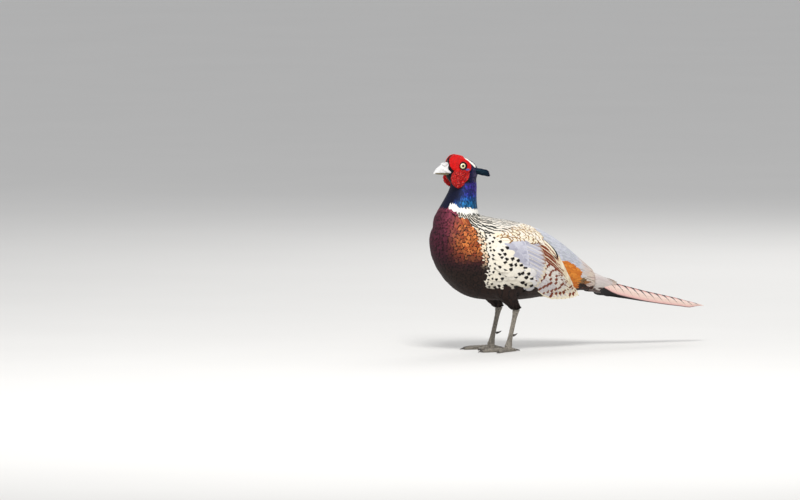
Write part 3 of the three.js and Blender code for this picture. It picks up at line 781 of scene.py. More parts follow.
def scattered(outer, seed):
    """Roots spread over the surface, closer where the feathers are small, each with its look and size."""
    rng = np.random.default_rng(seed)
    faces = list(outer.faces)
    areas = np.array([face.calc_area() for face in faces])
    weights = areas.copy()
    for i, face in enumerate(faces):
        z = face.calc_center_median().z / MM
        weights[i] *= HEAD_DENSITY if z > HEAD_FOOT_Z else NECK_DENSITY if z > NECK_FOOT_Z else 1
    chosen = rng.choice(len(faces), size=ROOT_TRIES, p=weights / weights.sum())
    shares = rng.random((len(chosen), 2))
    cells = {}
    roots = []
    for index, (a, b) in zip(chosen, shares):
        face = faces[index]
        corners = [v.co for v in face.verts]
        point = corners[0].lerp(corners[1], a).lerp(corners[3 % len(corners)].lerp(corners[2], a), b)
        place = in_mm(point)
        local = HEAD_INVERSE @ place
        normal = face.normal
        flow = flow_at(place, local)
        probe = place + flow.normalized() * FEATHER_REACH if place.z < NECK_FOOT_Z else place
        size = plumage_look(probe, normal, rng)[2]
        region = plumage_look(place, normal, rng)[0]
        spacing = size[2]
        home = tuple(int(v // SEARCH_CELL) for v in place)
        reach = int(spacing // SEARCH_CELL) + 1
        crowded = any(
            (other - place).length_squared < spacing * spacing
            for i in range(home[0] - reach, home[0] + reach + 1)
            for j in range(home[1] - reach, home[1] + reach + 1)
            for k in range(home[2] - reach, home[2] + reach + 1)
            for other in cells.get((i, j, k), ())
        )
        if crowded:
            continue
        cells.setdefault(home, []).append(place)
        roots.append((region, place, local, normal.copy(), size))
    return roots


def bare_face(local):
    """True where the head has bare skin, bill or eye and so no feathers."""
    f, side, z = local
    eye = (f / 11) ** 2 + (z / 10) ** 2 < 1 and abs(side) > 9
    pad = ((f - 6.5) / 7.2) ** 2 + ((z - 5) / 7.6) ** 2 < 1 or ((f + 4) / 9.4) ** 2 + ((z + 3) / 9) ** 2 < 1
    lobe = ((f - 3) / 14) ** 2 + ((z + 16) / 12) ** 2 < 1
    bill = f > 17 and -15 < z < 6 and abs(side) < 9
    return (abs(side) > 7 and (eye or pad or lobe)) or bill


def body_feathers(outer, coats, seed, least_rise):
    """Lays every contour feather along its lie and gathers it in the coat of its region."""
    tree = BVHTree.FromBMesh(outer)
    for region, place, local, normal, (length, half, spacing) in scattered(outer, seed):
        if region == "head" and bare_face(local):
            continue
        rng = np.random.default_rng(int(abs(place.x * 131 + place.y * 977 + place.z * 53) * 10))
        length *= 0.88 + 0.24 * rng.random()
        flow = flow_at(place, local)
        sway = (rng.random() - 0.5) * 0.22
        coat = coats[region]
        line, across, up = [], [], []
        at_point = place.copy()
        rise = 0.035 * length + least_rise
        last = 0.0
        for t in coat.steps:
            forward = flow - normal * flow.dot(normal)
            forward.normalize()
            forward = (forward + normal.cross(forward) * sway).normalized()
            if t > last:
                at_point = at_point + forward * (length * (t - last))
                last = t
            world = at(*at_point)
            found, found_normal, _, _ = tree.find_nearest(world)
            if found is not None:
                at_point = in_mm(found)
                normal = normal.lerp(found_normal, 0.7).normalized()
            proud = max(wing_rise(at_point.x, at_point.z) * (abs(at_point.y) > 20), over_wing(at_point))
            lift = -0.9 + rise * min(1, t * 1.5) ** 0.8 + proud
            line.append(at_point + normal * lift)
            across.append(normal.cross(forward).normalized())
            up.append(normal.copy())
        shown = line[-2] - up[-2] * 0.5
        look = plumage_look(shown, up[-2], rng)[1]
        if look[SPOT] > 0.5 and rng.random() < 0.07:
            look[SPOT] = 0.0
        widths = [half * vane_width(t) for t in coat.shares]
        thick = [0.14 + 0.2 * (1 - t) for t in coat.shares]
        u, v = bake_place(region, place, local)
        coat.add(line, across[1:-1], up[1:-1], widths, thick, look, (u, v, BAKE_PATCH, BAKE_PATCH))


def feather_values(tree):
    """A feather's looks, the places across and along its vane, and its streak and bars."""
    looks = {
        key: add_node(tree, "ShaderNodeAttribute", attribute_name=f"feather_{key}")
        for key in ("base", "edge", "mark", "kind")
    }
    uv = add_node(tree, "ShaderNodeUVMap", uv_map="vane")
    split = add_node(tree, "ShaderNodeSeparateXYZ", {0: uv.outputs[0]})
    kinds = add_node(tree, "ShaderNodeSeparateColor", {0: looks["kind"].outputs["Color"]})
    return looks, split.outputs[0], split.outputs[1], kinds.outputs[0], kinds.outputs[1]


def barb_relief(tree, along, rows, side, slant, strength):
    """The relief of barbs, in rows along a vane that slant from its shaft towards its tip."""
    place = plus(tree, times(tree, along, rows), times(tree, side, -slant))
    barbs = math_node(tree, "SINE", times(tree, place, 2 * math.pi))
    return relief_of(tree, barbs, strength, BARB_DEPTH)


def coat_colour(tree):
    """The colours and the gloss of a contour feather from its looks and its vane map."""
    looks, across, along, streak, bars = feather_values(tree)
    side = times(tree, math_node(tree, "ABSOLUTE", minus(tree, across, 0.5)), 2.0)
    beyond = math_node(tree, "DIVIDE", math_node(tree, "MAXIMUM", minus(tree, along, 0.5), 0.0), 0.5)
    round_tip = plus(tree, times(tree, side, side), times(tree, beyond, beyond))
    grain = noise(tree, 700.0, 3.0)
    uneven = times(tree, minus(tree, grain, 0.5), 0.28)
    rim = plus(tree, math_node(tree, "POWER", round_tip, 0.5), uneven)
    edge_from = minus(tree, 0.98, looks["edge"].outputs["Alpha"])
    edge_mask = times(tree, minus(tree, rim, edge_from), MARK_SHARPNESS, True)
    from_tip = times(tree, minus(tree, 0.96, along), 1.7)
    spot_reach = plus(tree, plus(tree, from_tip, times(tree, side, 0.62)), uneven)
    spot_mask = times(tree, minus(tree, looks["mark"].outputs["Alpha"], spot_reach), MARK_SHARPNESS, True)
    streak_side = plus(tree, side, times(tree, uneven, 1.4))
    streak_mask = times(tree, minus(tree, streak, streak_side), 8.0, True)
    # Flecks lie along the lower shaft, where the uneven rim falls below nothing.
    flecks = times(tree, rim, -7.0, True)
    turns = times(tree, times(tree, bars, MOST_BARS), along)
    turns = plus(tree, turns, times(tree, uneven, 1.2))
    part = math_node(tree, "ABSOLUTE", minus(tree, math_node(tree, "FRACT", turns), 0.5))
    # Bars are cut off before the rim, and a feather with no bars has none.
    barred = times(tree, minus(tree, 0.2, part), 12.0, True)
    barred = times(tree, barred, times(tree, minus(tree, 0.8, side), 6.0, True))
    barred = times(tree, barred, times(tree, bars, MOST_BARS, True))
    colour = mixed(tree, edge_mask, looks["base"].outputs["Color"], looks["edge"].outputs["Color"])
    marks = spot_mask
    for mask in (streak_mask, flecks, barred):
        marks = math_node(tree, "MAXIMUM", marks, mask)
    colour = mixed(tree, marks, colour, looks["mark"].outputs["Color"])
    return uneven_shade(tree, colour, grain, 0.86, 0.28), looks["base"].outputs["Alpha"], side, along


def feather_material(name, relief_strength):
    """Keratin barbs of contour feathers: satin, with a metallic play of colour where they are glossy."""
    material, tree = new_material(name)
    colour, gloss, side, along = coat_colour(tree)
    surface(
        tree,
        {
            "Base Color": colour,
            "Metallic": times(tree, gloss, 0.7),
            "Roughness": minus(tree, 0.62, times(tree, gloss, 0.3)),
            "Specular IOR Level": 0.2,
            # A feather has 24 rows of barbs, fewer than in life so that they show.
            "Normal": barb_relief(tree, along, 24.0, side, 9.0, relief_strength),
        },
    )
    return material


def skin_material():
    """Down and skin under the contour feathers: matt, with the colours of the coat above it."""
    material, tree = new_material("down under feathers")
    fluff = noise(tree, 420.0, 5.0)
    surface(
        tree,
        {
            "Base Color": uneven_shade(tree, attribute(tree, "feather_base", "Color"), fluff, 0.45, 0.3),
            "Roughness": 0.85,
            "Sheen Weight": 0.3,
            "Normal": relief_of(tree, fluff, 0.5, 1),
        },
    )
    return material


def skin_piece(outer):
    """The skin: the outer surface drawn in by the coat's depth, with the coat's colours on it."""
    inner = outer.copy()
    inner.normal_update()
    offsets = [(v, v.normal.copy()) for v in inner.verts]
    for vertex, normal in offsets:
        vertex.co -= normal * coat_depth(vertex.co.z / MM)
    mesh = bpy.data.meshes.new("skin")
    inner.normal_update()
    inner.to_mesh(mesh)
    colour = mesh.color_attributes.new("feather_base", "FLOAT_COLOR", "POINT")
    rng = np.random.default_rng(3)
    values = []
    for vertex in inner.verts:
        place = in_mm(vertex.co)
        look = plumage_look(place, vertex.normal, rng)[1]
        values.extend([*look[:3], 1])
    colour.data.foreach_set("color", values)
    inner.free()
    return piece("skin", mesh, skin_material(), FEATHERED)


def mirrored_mesh(mesh, name):
    """The other side's copy of a mesh, mirrored in the middle plane with its faces still outwards."""
    other = bmesh.new()
    other.from_mesh(mesh)
    bmesh.ops.scale(other, vec=(1, -1, 1), verts=other.verts)
    bmesh.ops.reverse_faces(other, faces=other.faces)
    return mesh_of(name, other)


def between(rows, count):
    """Rows spread evenly along a short list of rows, the first and last included."""
    table = np.array(rows, float)
    places = np.linspace(0, len(rows) - 1, count)
    return [[float(np.interp(p, np.arange(len(rows)), column)) for column in table.T] for p in places]


def atlas_cell(index, columns=8, rows=8):
    """The bake map's cell of one long feather, with a margin round it."""
    u, v = index % columns, index // columns
    return ((u + 0.06) / columns, (v + 0.04) / rows, 0.88 / columns, 0.92 / rows)


def blade_width(t, root=0.45, fullest=0.35, taper=0.75):
    """The half width of a flight feather along its length: widening, even, then round at the tip."""
    if t < fullest:
        return root + (1 - root) * math.sin(math.pi / 2 * t / fullest)
    if t < taper:
        return 1.0
    return math.sqrt(max(0.0, 1 - ((t - taper) / (1 - taper)) ** 2)) * 0.97 + 0.03 * (1 - t)


# Wing feathers on the left flank, from the top of each tier to its foot:
# place and height of the root, place and height of the tip, and how far the middle bows up.
FLIGHT_ROWS = [
    (10, 200, 72, 155, 7),
    (3, 192, 85, 137, 8),
    (0, 183, 98, 118, 8),
    (0, 173, 113, 102, 7),
    (1, 162, 128, 90, 6),
    (1, 151, 117, 87, 4),
    (-1, 140, 101, 86, 3),
    (-4, 129, 83, 88, 1),
]
GREATER_ROWS = [
    (-18, 195, 38, 178, 4),
    (-26, 184, 45, 160, 4),
    (-30, 172, 48, 143, 4),
    (-31, 160, 45, 127, 3),
    (-30, 147, 37, 112, 3),
]
MEDIAN_ROWS = [
    (-24, 190, 8, 181, 2),
    (-28, 179, 12, 162, 2),
    (-26, 166, 12, 146, 2),
    (-22, 153, 10, 130, 2),
]


def flight_look(s, k):
    """A flight feather's look by its share down the tier: tertials, secondaries, primaries."""
    c = COLOURS
    if k == 0:
        return look_of(c["cream"], c["black"], c["chestnut"], 0.05, 0.2, 0, 0.2)
    if s < 0.4:
        rim = blended(c["cream"], c["gold"], 0.3 * (k % 2))
        return look_of(c["chestnut"], rim, c["cream"], 0.05, 0.24, 0, 0.16 - 0.1 * (k % 2))
    if s < 0.75:
        warm = blended(c["cream"], c["lavender_light"], 0.5)
        return look_of(warm, c["cream"], c["chestnut"], 0.05, 0.2, 0, 0, 0.2 + 0.03 * (k % 3))
    tone = blended(c["lavender_light"], c["buff"], 0.35 + 0.1 * (k % 2))
    return look_of(tone, c["cream"], c["chestnut"], 0.05, 0.16, 0, 0, 0.16)


def covert_look(s, k, tier):
    """A wing covert's look: lavender grey, with cream and chestnut rims behind."""
    c = COLOURS
    tone = blended(c["lavender"], c["lavender_light"], (0.37 * tier + 0.41 * k) % 1)
    if tier == 0:
        rim = blended(c["chestnut"], c["cream"], 0.25 if s < 0.5 else 0.8)
        return look_of(tone, rim, c["cream"], 0.1, 0.13, 0, 0.1)
    return look_of(tone, c["lavender_light"], c["lavender"], 0.12, 0.18)


def wing_mesh(name, flight_half, covert_half):
    """The left wing's flight feathers and coverts, tier over tier."""
    coat = Coat("long", 14)
    tiers = (
        (FLIGHT_ROWS, 15, flight_half, 0.7, 0.13, flight_look),
        (GREATER_ROWS, 11, covert_half, 2.3, 0.08, lambda s, k: covert_look(s, k, 0)),
        (MEDIAN_ROWS, 9, covert_half + 0.4, 3.1, 0.08, lambda s, k: covert_look(s, k, 1)),
    )
    for rows, count, half, lift, step, looks in tiers:
        for k, (root_x, root_z, tip_x, tip_z, bow) in enumerate(between(rows, count)):
            s = k / (count - 1)
            way = Vector((tip_x - root_x, 0, tip_z - root_z))
            above = Vector((-way.z, 0, way.x)).normalized()
            line, across, up = [], [], []
            for t in coat.steps:
                flat = Vector((root_x, 0, root_z)) + way * t + above * bow * math.sin(math.pi * t)
                rise = lift + step * (count - k) + 0.6 * t - 1.6 * (1 - min(1, 4 * t))
                point, normal = on_flank(LEFT, flat.x, flat.z, rise)
                line.append(point)
                up.append(normal)
            for i in range(len(line)):
                ahead = (line[min(i + 1, len(line) - 1)] - line[max(i - 1, 0)]).normalized()
                across.append(up[i].cross(ahead).normalized())
            widths = [half * blade_width(t) for t in coat.shares]
            thick = [0.2 + 0.25 * (1 - t) for t in coat.shares]
            cell = atlas_cell(len(coat.looks))
            coat.add(line, across[1:-1], up[1:-1], widths, thick, looks(s, k), cell)
    return coat.mesh(name)


# The tail's ridge: place and height.
TAIL_RIDGE = [(165, 127), (185, 117.5), (210, 109), (264, 94.5), (329, 79), (381, 64)]
TAIL_ROOT_X = 172
TAIL_TIPS = [TAIL_TIP_X, 354, 328, 303, 280, 260, 243, 229, 218]

# How many tail coverts one layer of a side has.
TAIL_COVERTS = 8


def tail_width(t):
    """The half width of a tail feather: widest near its root, then a long taper."""
    return (0.75 + 0.25 * smooth(0, 0.15, t)) * (1 - 0.68 * t**2.2) * (1 - smooth(0.82, 1.0, t) * 0.75)


def tail_coverts(coat):
    """The tail coverts of one side, in two layers from the top round to below."""
    c = COLOURS
    for k in range(2 * TAIL_COVERTS):
        layer, place_round = divmod(k, TAIL_COVERTS)
        turn = math.radians(8 + 150 * place_round / (TAIL_COVERTS - 1))
        start = 154 + 8 * layer
        tip = start + 52 - 1.6 * place_round
        line, up = [], []
        for t in coat.steps:
            x = start + (tip - start) * t
            ridge = line_at(TAIL_RIDGE, x)
            half = 3.5 + 17 * smooth(225, 150, x)
            deep = 8 + 10 * smooth(225, 150, x)
            out = Vector((0.1, -math.sin(turn) * deep, math.cos(turn) * half)).normalized()
            place = Vector((x, -math.sin(turn) * half, ridge - deep * (1 - math.cos(turn)) * 0.98 + 1.2))
            line.append(place + out * (0.6 * (1 - layer) - 2.2 * (1 - min(1, 4 * t))))
            up.append(out)
        across = [u.cross(Vector((1, 0, -0.25))).normalized() for u in up]
        widths = [6.6 * vane_width(t) for t in coat.shares]
        tone = blended(c["pink_buff"], c["buff"], (0.37 * k) % 1)
        tone = blended(tone, c["rump_grey"], 0.35 - 0.35 * layer)
        if place_round > 5:
            tone = blended(c["brown_black"], c["chestnut"], 0.2)
        look = look_of(tone, plain(tone, 0.9), c["brown"], 0.05, 0.1)
        cell = atlas_cell(k + 10, 8, 4)
        coat.add(line, across[1:-1], up[1:-1], widths, [0.3] * len(widths), look, cell)


def tail_mesh(name, widest, bar):
    """One side's tail feathers, the longest on top, each leaning outwards like a roof, and its coverts."""
    c = COLOURS
    coat = Coat("long", 22)
    for k, tip in enumerate(TAIL_TIPS):
        share = k * 5 / (len(TAIL_TIPS) - 1)
        tilt = math.radians(46 + 2 * share)
        length = tip - TAIL_ROOT_X
        line = []
        for t in coat.steps:
            x = TAIL_ROOT_X + length * t
            width = widest * tail_width(t)
            out = 0.35 + 0.25 * share + width * math.cos(tilt)
            z = line_at(TAIL_RIDGE, x) - 1.3 * share - width * math.sin(tilt)
            line.append(Vector((x, -out, z)))
        across = [Vector((0, math.cos(tilt), math.sin(tilt)))] * len(coat.shares)
        up = [Vector((0.15, -math.sin(tilt), math.cos(tilt))).normalized()] * len(coat.shares)
        widths = [widest * tail_width(t) for t in coat.shares]
        thick = [0.25 + 0.3 * (1 - t) for t in coat.shares]
        tone = blended(c["tail_pink"], c["tail_buff"], 0.2 + 0.1 * k)
        # The lower feathers' outer rims are black: partly their own dark edge, partly a painted shadow
        # under the tail.
        dark_edge_and_shadow = 0.1 if k < 1 else 0.36
        look = look_of(tone, c["tail_buff"], c["black"], 0.05, 0.1, dark_edge_and_shadow, 0, length / bar / MOST_BARS)
        coat.add(line, across, up, widths, thick, look, atlas_cell(k, 8, 4))
    tail_coverts(coat)
    return coat.mesh(name)


def tail_material():
    """Tail feathers: satin keratin vanes of pinkish buff with slanting black bars."""
    material, tree = new_material("barred tail feathers")
    looks, outwards, along, _, bars = feather_values(tree)
    count = times(tree, bars, MOST_BARS)
    grain = noise(tree, 500.0, 4.0)
    phase = plus(tree, times(tree, along, count), times(tree, outwards, 0.75))
    phase = plus(tree, phase, times(tree, grain, 0.18))
    off = math_node(tree, "ABSOLUTE", minus(tree, math_node(tree, "FRACT", phase), 0.5))
    # The bars are broad at the inner rim, which is on top, and narrow to the outer rim.
    from_shaft = math_node(tree, "ABSOLUTE", minus(tree, outwards, 0.5))
    reach = plus(tree, 0.02, times(tree, math_node(tree, "POWER", outwards, 2.0), 0.24))
    bar = times(tree, minus(tree, reach, off), 14.0, True)
    bar = times(tree, bar, math_node(tree, "MINIMUM", count, 1.0))
    # The black outer rim is partly a dark edge and partly a painted shadow under the tail.
    dark_edge_and_shadow = minus(tree, looks["mark"].outputs["Alpha"], outwards)
    bar = math_node(tree, "MAXIMUM", bar, times(tree, dark_edge_and_shadow, 12.0, True))
    rosy = ramp_between(tree, from_shaft, 0.12, 0.5)
    colour = mixed(tree, rosy, looks["edge"].outputs["Color"], looks["base"].outputs["Color"])
    colour = mixed(tree, bar, colour, looks["mark"].outputs["Color"])
    surface(
        tree,
        {
            "Base Color": uneven_shade(tree, colour, grain, 0.84, 0.32),
            "Roughness": 0.55,
            "Sheen Weight": 0.15,
            "Normal": barb_relief(tree, along, 150.0, from_shaft, 14.0, 0.2),
        },
    )
    return material


def head_point(f, side, z):
    """A place in the solids' millimetres from one in the head's frame."""
    return HEAD @ Vector((f, side, z))


def ear_tufts(material):
    """Narrow glossy blunt feathers standing back from each side of the nape."""
    c = COLOURS
    coat = Coat("long", 7)
    rng = np.random.default_rng(21)
    for side in SIDES.values():
        for k in range(14):
            high = (k % 7 - 3) / 3
            depth = k // 7
            root = Vector((-20, 0, -8.6 + 2.4 * high))
            tip = Vector((-50.5 + 1.6 * rng.random() + 1.5 * high, 0, -14.2 + 4.4 * high))
            line, up = [], []
            for t in coat.steps:
                flat = root.lerp(tip, t)
                # A bird's left is the head frame's +y and the model's -y.
                lateral = -side * (12 + 2.6 * t + 1.1 * depth * math.sin(math.pi * t) - 0.6 * high * high)
                line.append(head_point(flat.x, lateral, flat.z + 0.4 * math.sin(math.pi * t)))
                up.append((HEAD.to_3x3() @ Vector((0.1, -side, 0.25 * high))).normalized())
            ahead = (line[-1] - line[0]).normalized()
            across = [u.cross(ahead).normalized() for u in up]
            widths = [1.9 * blade_width(t, 0.7, 0.3, 0.92) for t in coat.shares]
            tone = blended(c["ear_green"], c["navy"], rng.random())
            look = look_of(tone, c["navy"], c["black"], 0.7, 0.2)
            cell = atlas_cell(len(coat.looks))
            coat.add(line, across[1:-1], up[1:-1], widths, [0.35] * len(widths), look, cell)
    tufts = [f"ear_tuft_{side_name}" for side_name in SIDES]
    return piece("ear_tufts", coat.mesh("ear_tufts"), material, tufts)


def wattle_material(red):
    """Bare face skin: satin wet-looking red, with painted shade making it dark between its bumps and paler
    on their tips, and painted pale highlights in specks on the hanging lobe.
    """
    material, tree = new_material("bare red face skin")
    # Painted shade: a darker red, made uneven by a cloudy pattern, fills the hollows between the bumps, and
    # the full red shows on their tips.
    deep = mixed(tree, noise(tree, 190.0, 3.0), opaque(red, 0.35), opaque(red, 0.8))
    tone = mixed(tree, attribute(tree, "bump_height"), deep, opaque(red))
    lobe = attribute(tree, "hanging_lobe")
    pepper = noise(tree, 520.0)
    dark_specks = times(tree, ramp_between(tree, pepper, 0.5, 0.6), times(tree, lobe, 0.8))
    # The pale pink specks on the hanging lobe are painted highlights.
    painted_highlight_specks = times(tree, ramp_between(tree, pepper, 0.42, 0.34), times(tree, lobe, 0.45))
    tone = mixed(tree, dark_specks, tone, opaque(red, 0.12))
    tone = mixed(tree, painted_highlight_specks, tone, opaque(linear("#e58a80")))
    tone = mixed(tree, attribute(tree, "violet_patch"), tone, opaque(linear("#5a5088")))
    tone = mixed(tree, attribute(tree, "lid_dark"), tone, opaque(linear("#140a12")))
    cells = add_node(tree, "ShaderNodeTexVoronoi", {"Vector": own_place(tree), "Scale": 1500.0})
    surface(
        tree,
        {
            "Base Color": tone,
            "Roughness": 0.5,
            "Specular IOR Level": 0.16,
            "Subsurface Weight": 0.05,
            "Subsurface Radius": (1.2 * MM, 0.4 * MM, 0.3 * MM),
            "Normal": relief_of(tree, cells.outputs["Distance"], 0.35, 0.2),
        },
    )
    return material


def spaced_points(points, spacing, seed):
    """The numbers of points that keep a spacing, tried in a seeded order."""
    order = np.random.default_rng(seed).permutation(len(points))
    cells = {}
    kept = []
    for i in order:
        p = points[i]
        home = tuple(int(v // spacing) for v in p)
        near = (
            q
            for a in (-1, 0, 1)
            for b in (-1, 0, 1)
            for d in (-1, 0, 1)
            for q in cells.get((home[0] + a, home[1] + b, home[2] + d), ())
        )
        if all((q - p).length > spacing for q in near):
            cells.setdefault(home, []).append(p)
            kept.append(int(i))
    return kept


def wattle(side_name, material, black, spacing, tallest):
    """One side's bare skin with its papillae, and the rows of tiny black feathers on it."""
    side = SIDES[side_name]
    shape = remeshed(merged_copy([f"wattle_{side_name}"]), 0.5 * MM, 4)
    verts = list(shape.verts)
    places = [in_mm(v.co) for v in verts]
    bumps = spaced_points(places, spacing, 5)
    tree = KDTree(len(bumps))
    for i in bumps:
        tree.insert(places[i], i)
    tree.balance()
    heights = [max(0.0, 1 - (tree.find(place)[2] / (0.6 * spacing)) ** 2) for place in places]
    head_places = [HEAD_INVERSE @ place for place in places]
    lids = [smooth(8.0, 6.8, math.hypot(p.x + 0.6, p.z)) for p in head_places]
    lobes = [smooth(-5, -11, p.z) for p in head_places]
    patches = [smooth(1.2, 0.8, math.hypot((p.x + 8) / 4, (p.z + 6.2) / 1.9)) for p in head_places]
    heights = [h * (1 - lid) for h, lid in zip(heights, lids)]
    normals = [v.normal.copy() for v in verts]
    for vertex, normal, height in zip(verts, normals, heights):
        vertex.co += normal * (height - 0.5) * tallest * MM
    specks = [
        i
        for i in spaced_points(places, 2.7, 9)
        if head_places[i].z < -8 and head_places[i].y * -side > 12 and normals[i].y * side > 0.1
    ]
    dots = bmesh.new()
    for i in specks:
        spot = bmesh.ops.create_icosphere(dots, subdivisions=1, radius=0.8 * MM)["verts"]
        place = Matrix.Translation(verts[i].co + normals[i] * 0.12 * MM)
        bmesh.ops.transform(dots, matrix=place @ Matrix.Diagonal((0.8, 0.8, 1.25, 1)), verts=spot)
    mesh = mesh_of(f"face_skin_{side_name}", shape)
    masks = {"bump_height": heights, "hanging_lobe": lobes, "lid_dark": lids, "violet_patch": patches}
    for key, values in masks.items():
        mesh.attributes.new(key, "FLOAT", "POINT").data.foreach_set("value", values)
    piece(f"face_skin_{side_name}", mesh, material, [f"wattle_{side_name}"])
    piece(f"face_specks_{side_name}", mesh_of(f"face_specks_{side_name}", dots), black)


def eye_material(yellow):
    """A bird's eye: wet clear cornea over a pale yellow iris with a black pupil."""
    material, tree = new_material("wet eye")
    out = attribute(tree, "from_pupil")
    iris = mixed(tree, noise(tree, 1800.0), opaque(yellow, 0.75), opaque(yellow))
    colour = mixed(tree, ramp_between(tree, out, *PUPIL_EDGE), opaque(linear("#050404")), iris)
    colour = mixed(tree, ramp_between(tree, out, *IRIS_EDGE), colour, opaque(linear("#120a0c")))
    surface(tree, {"Base Color": colour, "Roughness": 0.2, "Specular IOR Level": 0.1, "Coat Weight": 0.6})
    return material


def eye(side_name, material):
    """One eyeball with its pupil on the pole that looks outwards."""
    side = SIDES[side_name]
    ball = bmesh.new()
    bmesh.ops.create_uvsphere(ball, u_segments=48, v_segments=48, radius=EYE_RADIUS * MM)
    axis = HEAD.to_3x3() @ Vector((0, -side, 0))
    turn = axis.to_track_quat("Z", "Y").to_matrix().to_4x4()
    centre = head_point(0, -side * EYE_SIDE, 0)
    outs = [math.hypot(v.co.x, v.co.y) / MM if v.co.z > 0 else EYE_RADIUS for v in ball.verts]
    bmesh.ops.transform(ball, matrix=Matrix.Translation(at(*centre)) @ turn, verts=ball.verts)
    mesh = mesh_of(f"eyeball_{side_name}", ball)
    mesh.attributes.new("from_pupil", "FLOAT", "POINT").data.foreach_set("value", outs)
    return piece(f"eyeball_{side_name}", mesh, material, [f"eye_{side_name}"])


def horn_material(name, tone, darkest, streak_scale, roughness):
    """Horn: hard keratin with long faint growth streaks, worn to a satin gloss."""
    material, tree = new_material(name)
    stretched = add_node(tree, "ShaderNodeMapping", {"Vector": own_place(tree), "Scale": (0.35, 1.0, 1.6)})
    streaks = noise(tree, streak_scale, 5.0, stretched.outputs[0])
    tone = mixed(tree, ramp_between(tree, streaks, 0.3, 0.7), opaque(tone, darkest), opaque(tone))
    relief = relief_of(tree, streaks, 0.12, 0.2)
    surface(tree, {"Base Color": tone, "Roughness": roughness, "Coat Weight": 0.15, "Normal": relief})
    return material


def leg_material(plates, scale_size):
    """Leg scales: overlapping plates of grey horny skin, satin, darker in the joins between them."""
    material, tree = new_material("scaled leg skin")
    cells = add_node(
        tree,
        "ShaderNodeTexVoronoi",
        {"Vector": own_place(tree), "Scale": 1 / scale_size},
        feature="DISTANCE_TO_EDGE",
    )
    join = ramp_between(tree, cells.outputs["Distance"], 0.02, 0.16)
    plate = mixed(tree, noise(tree, 90.0), opaque(plates, 0.62), opaque(plates))
    tone = mixed(tree, join, opaque(plates, 0.2), plate)
    surface(tree, {"Base Color": tone, "Roughness": 0.5, "Normal": relief_of(tree, join, 0.6, 0.35)})
    return material


def softened(name, nodes, voxel, rounds, material, lobes=()):
    """A smooth piece in place of rigid nodes, from their merged copy and any ellipsoids fused to it."""
    solid = merged_copy(nodes)
    for centre, turn, half_axes in lobes:
        lobe = bmesh.ops.create_icosphere(solid, subdivisions=3, radius=MM)["verts"]
        place = Matrix.Translation(at(*HEAD_PLACE)) @ Matrix.Rotation(HEAD_YAW, 4, "Z")
        place = place @ Matrix.Translation(Vector(centre) * MM) @ turn @ Matrix.Diagonal((*half_axes, 1))
        bmesh.ops.transform(solid, matrix=place, verts=lobe)
    return piece(name, mesh_of(name, remeshed(solid, voxel, rounds)), material, nodes)


def size_property(name, description, default):
    """A length in metres that a user can change."""
    return bpy.props.FloatProperty(
        name=name, description=description, default=default, min=0.0, unit="LENGTH"
    )


def power_property(name, description, default):
    """A lamp's power in watts that a user can change."""
    return bpy.props.FloatProperty(name=name, description=description, default=default, unit="POWER")


def colour_property(name, description, colour):
    """A linear colour that a user can change."""
    return bpy.props.FloatVectorProperty(
        name=name, description=description, subtype="COLOR", size=3, min=0.0, max=1.0, default=colour
    )


def take_colours(settings):
    """Puts a group's colours in the table that the feathers' looks read."""
    for key in settings.bl_rna.properties.keys():
        if key in COLOURS:
            COLOURS[key] = tuple(getattr(settings, key))


class StageSettings(bpy.types.PropertyGroup):
    """The studio's floor and light."""

    floor: colour_property("Floor", "Pale matt floor", linear("#e0deda"))
    key: power_property("Key light", "Power of the large light ahead of the bird's left side", 80)
    fill: power_property("Fill light", "Power of the soft light ahead of the bird", 9)
    rim: power_property("Rim light", "Power of the light behind the bird", 24)
    sky: bpy.props.FloatProperty(
        name="Sky", description="Strength of the even light all round", default=0.72, min=0.0
    )


class PlumageSettings(bpy.types.PropertyGroup):
    """The contour feathers of head, neck and body."""

    barb_relief: bpy.props.FloatProperty(
        name="Barb relief", description="Strength of the barbs' relief", default=0.22, min=0.0, max=1.0
    )
    rise: size_property("Rise", "Least height of a feather's tip over the next ones", 0.3 * MM)
    seed: bpy.props.IntProperty(
        name="Seed", description="Number that starts the scatter of the feathers", default=7
    )
    violet: colour_property("Violet", "Upper neck", COLOURS["violet"])
    blue: colour_property("Blue", "Middle of the neck", COLOURS["blue"])
    teal: colour_property("Teal", "Foot of the neck", COLOURS["teal"])
    ring_white: colour_property("Ring", "White ring round the neck", COLOURS["ring_white"])
    maroon: colour_property("Maroon", "Breast", COLOURS["maroon"])
    copper: colour_property("Copper", "Sides of the breast", COLOURS["copper"])
    white: colour_property("White", "Flanks and mantle", COLOURS["white"])
    rump_grey: colour_property("Rump", "Grey rump", COLOURS["rump_grey"])
    rufous: colour_property("Rufous", "Patch beside the rump", COLOURS["rufous"])


class WingSettings(bpy.types.PropertyGroup):
    """The folded wings' feathers."""

    flight_half: size_property("Flight feather", "Half width of a flight feather's vane", 8.2 * MM)
    covert_half: size_property("Covert", "Half width of a covert's vane", 7.4 * MM)
    lavender: colour_property("Lavender", "Wing coverts", COLOURS["lavender"])
    chestnut: colour_property("Chestnut", "Marks on the flight feathers", COLOURS["chestnut"])


class TailSettings(bpy.types.PropertyGroup):
    """The tail feathers."""

    half: size_property("Half width", "Half width of the widest tail feather", 14.5 * MM)
    bar: size_property("Bar spacing", "Distance from one black bar to the next", 15 * MM)
    tail_pink: colour_property("Pink", "Rims of the tail feathers", COLOURS["tail_pink"])
    tail_buff: colour_property("Buff", "Middles of the tail feathers", COLOURS["tail_buff"])


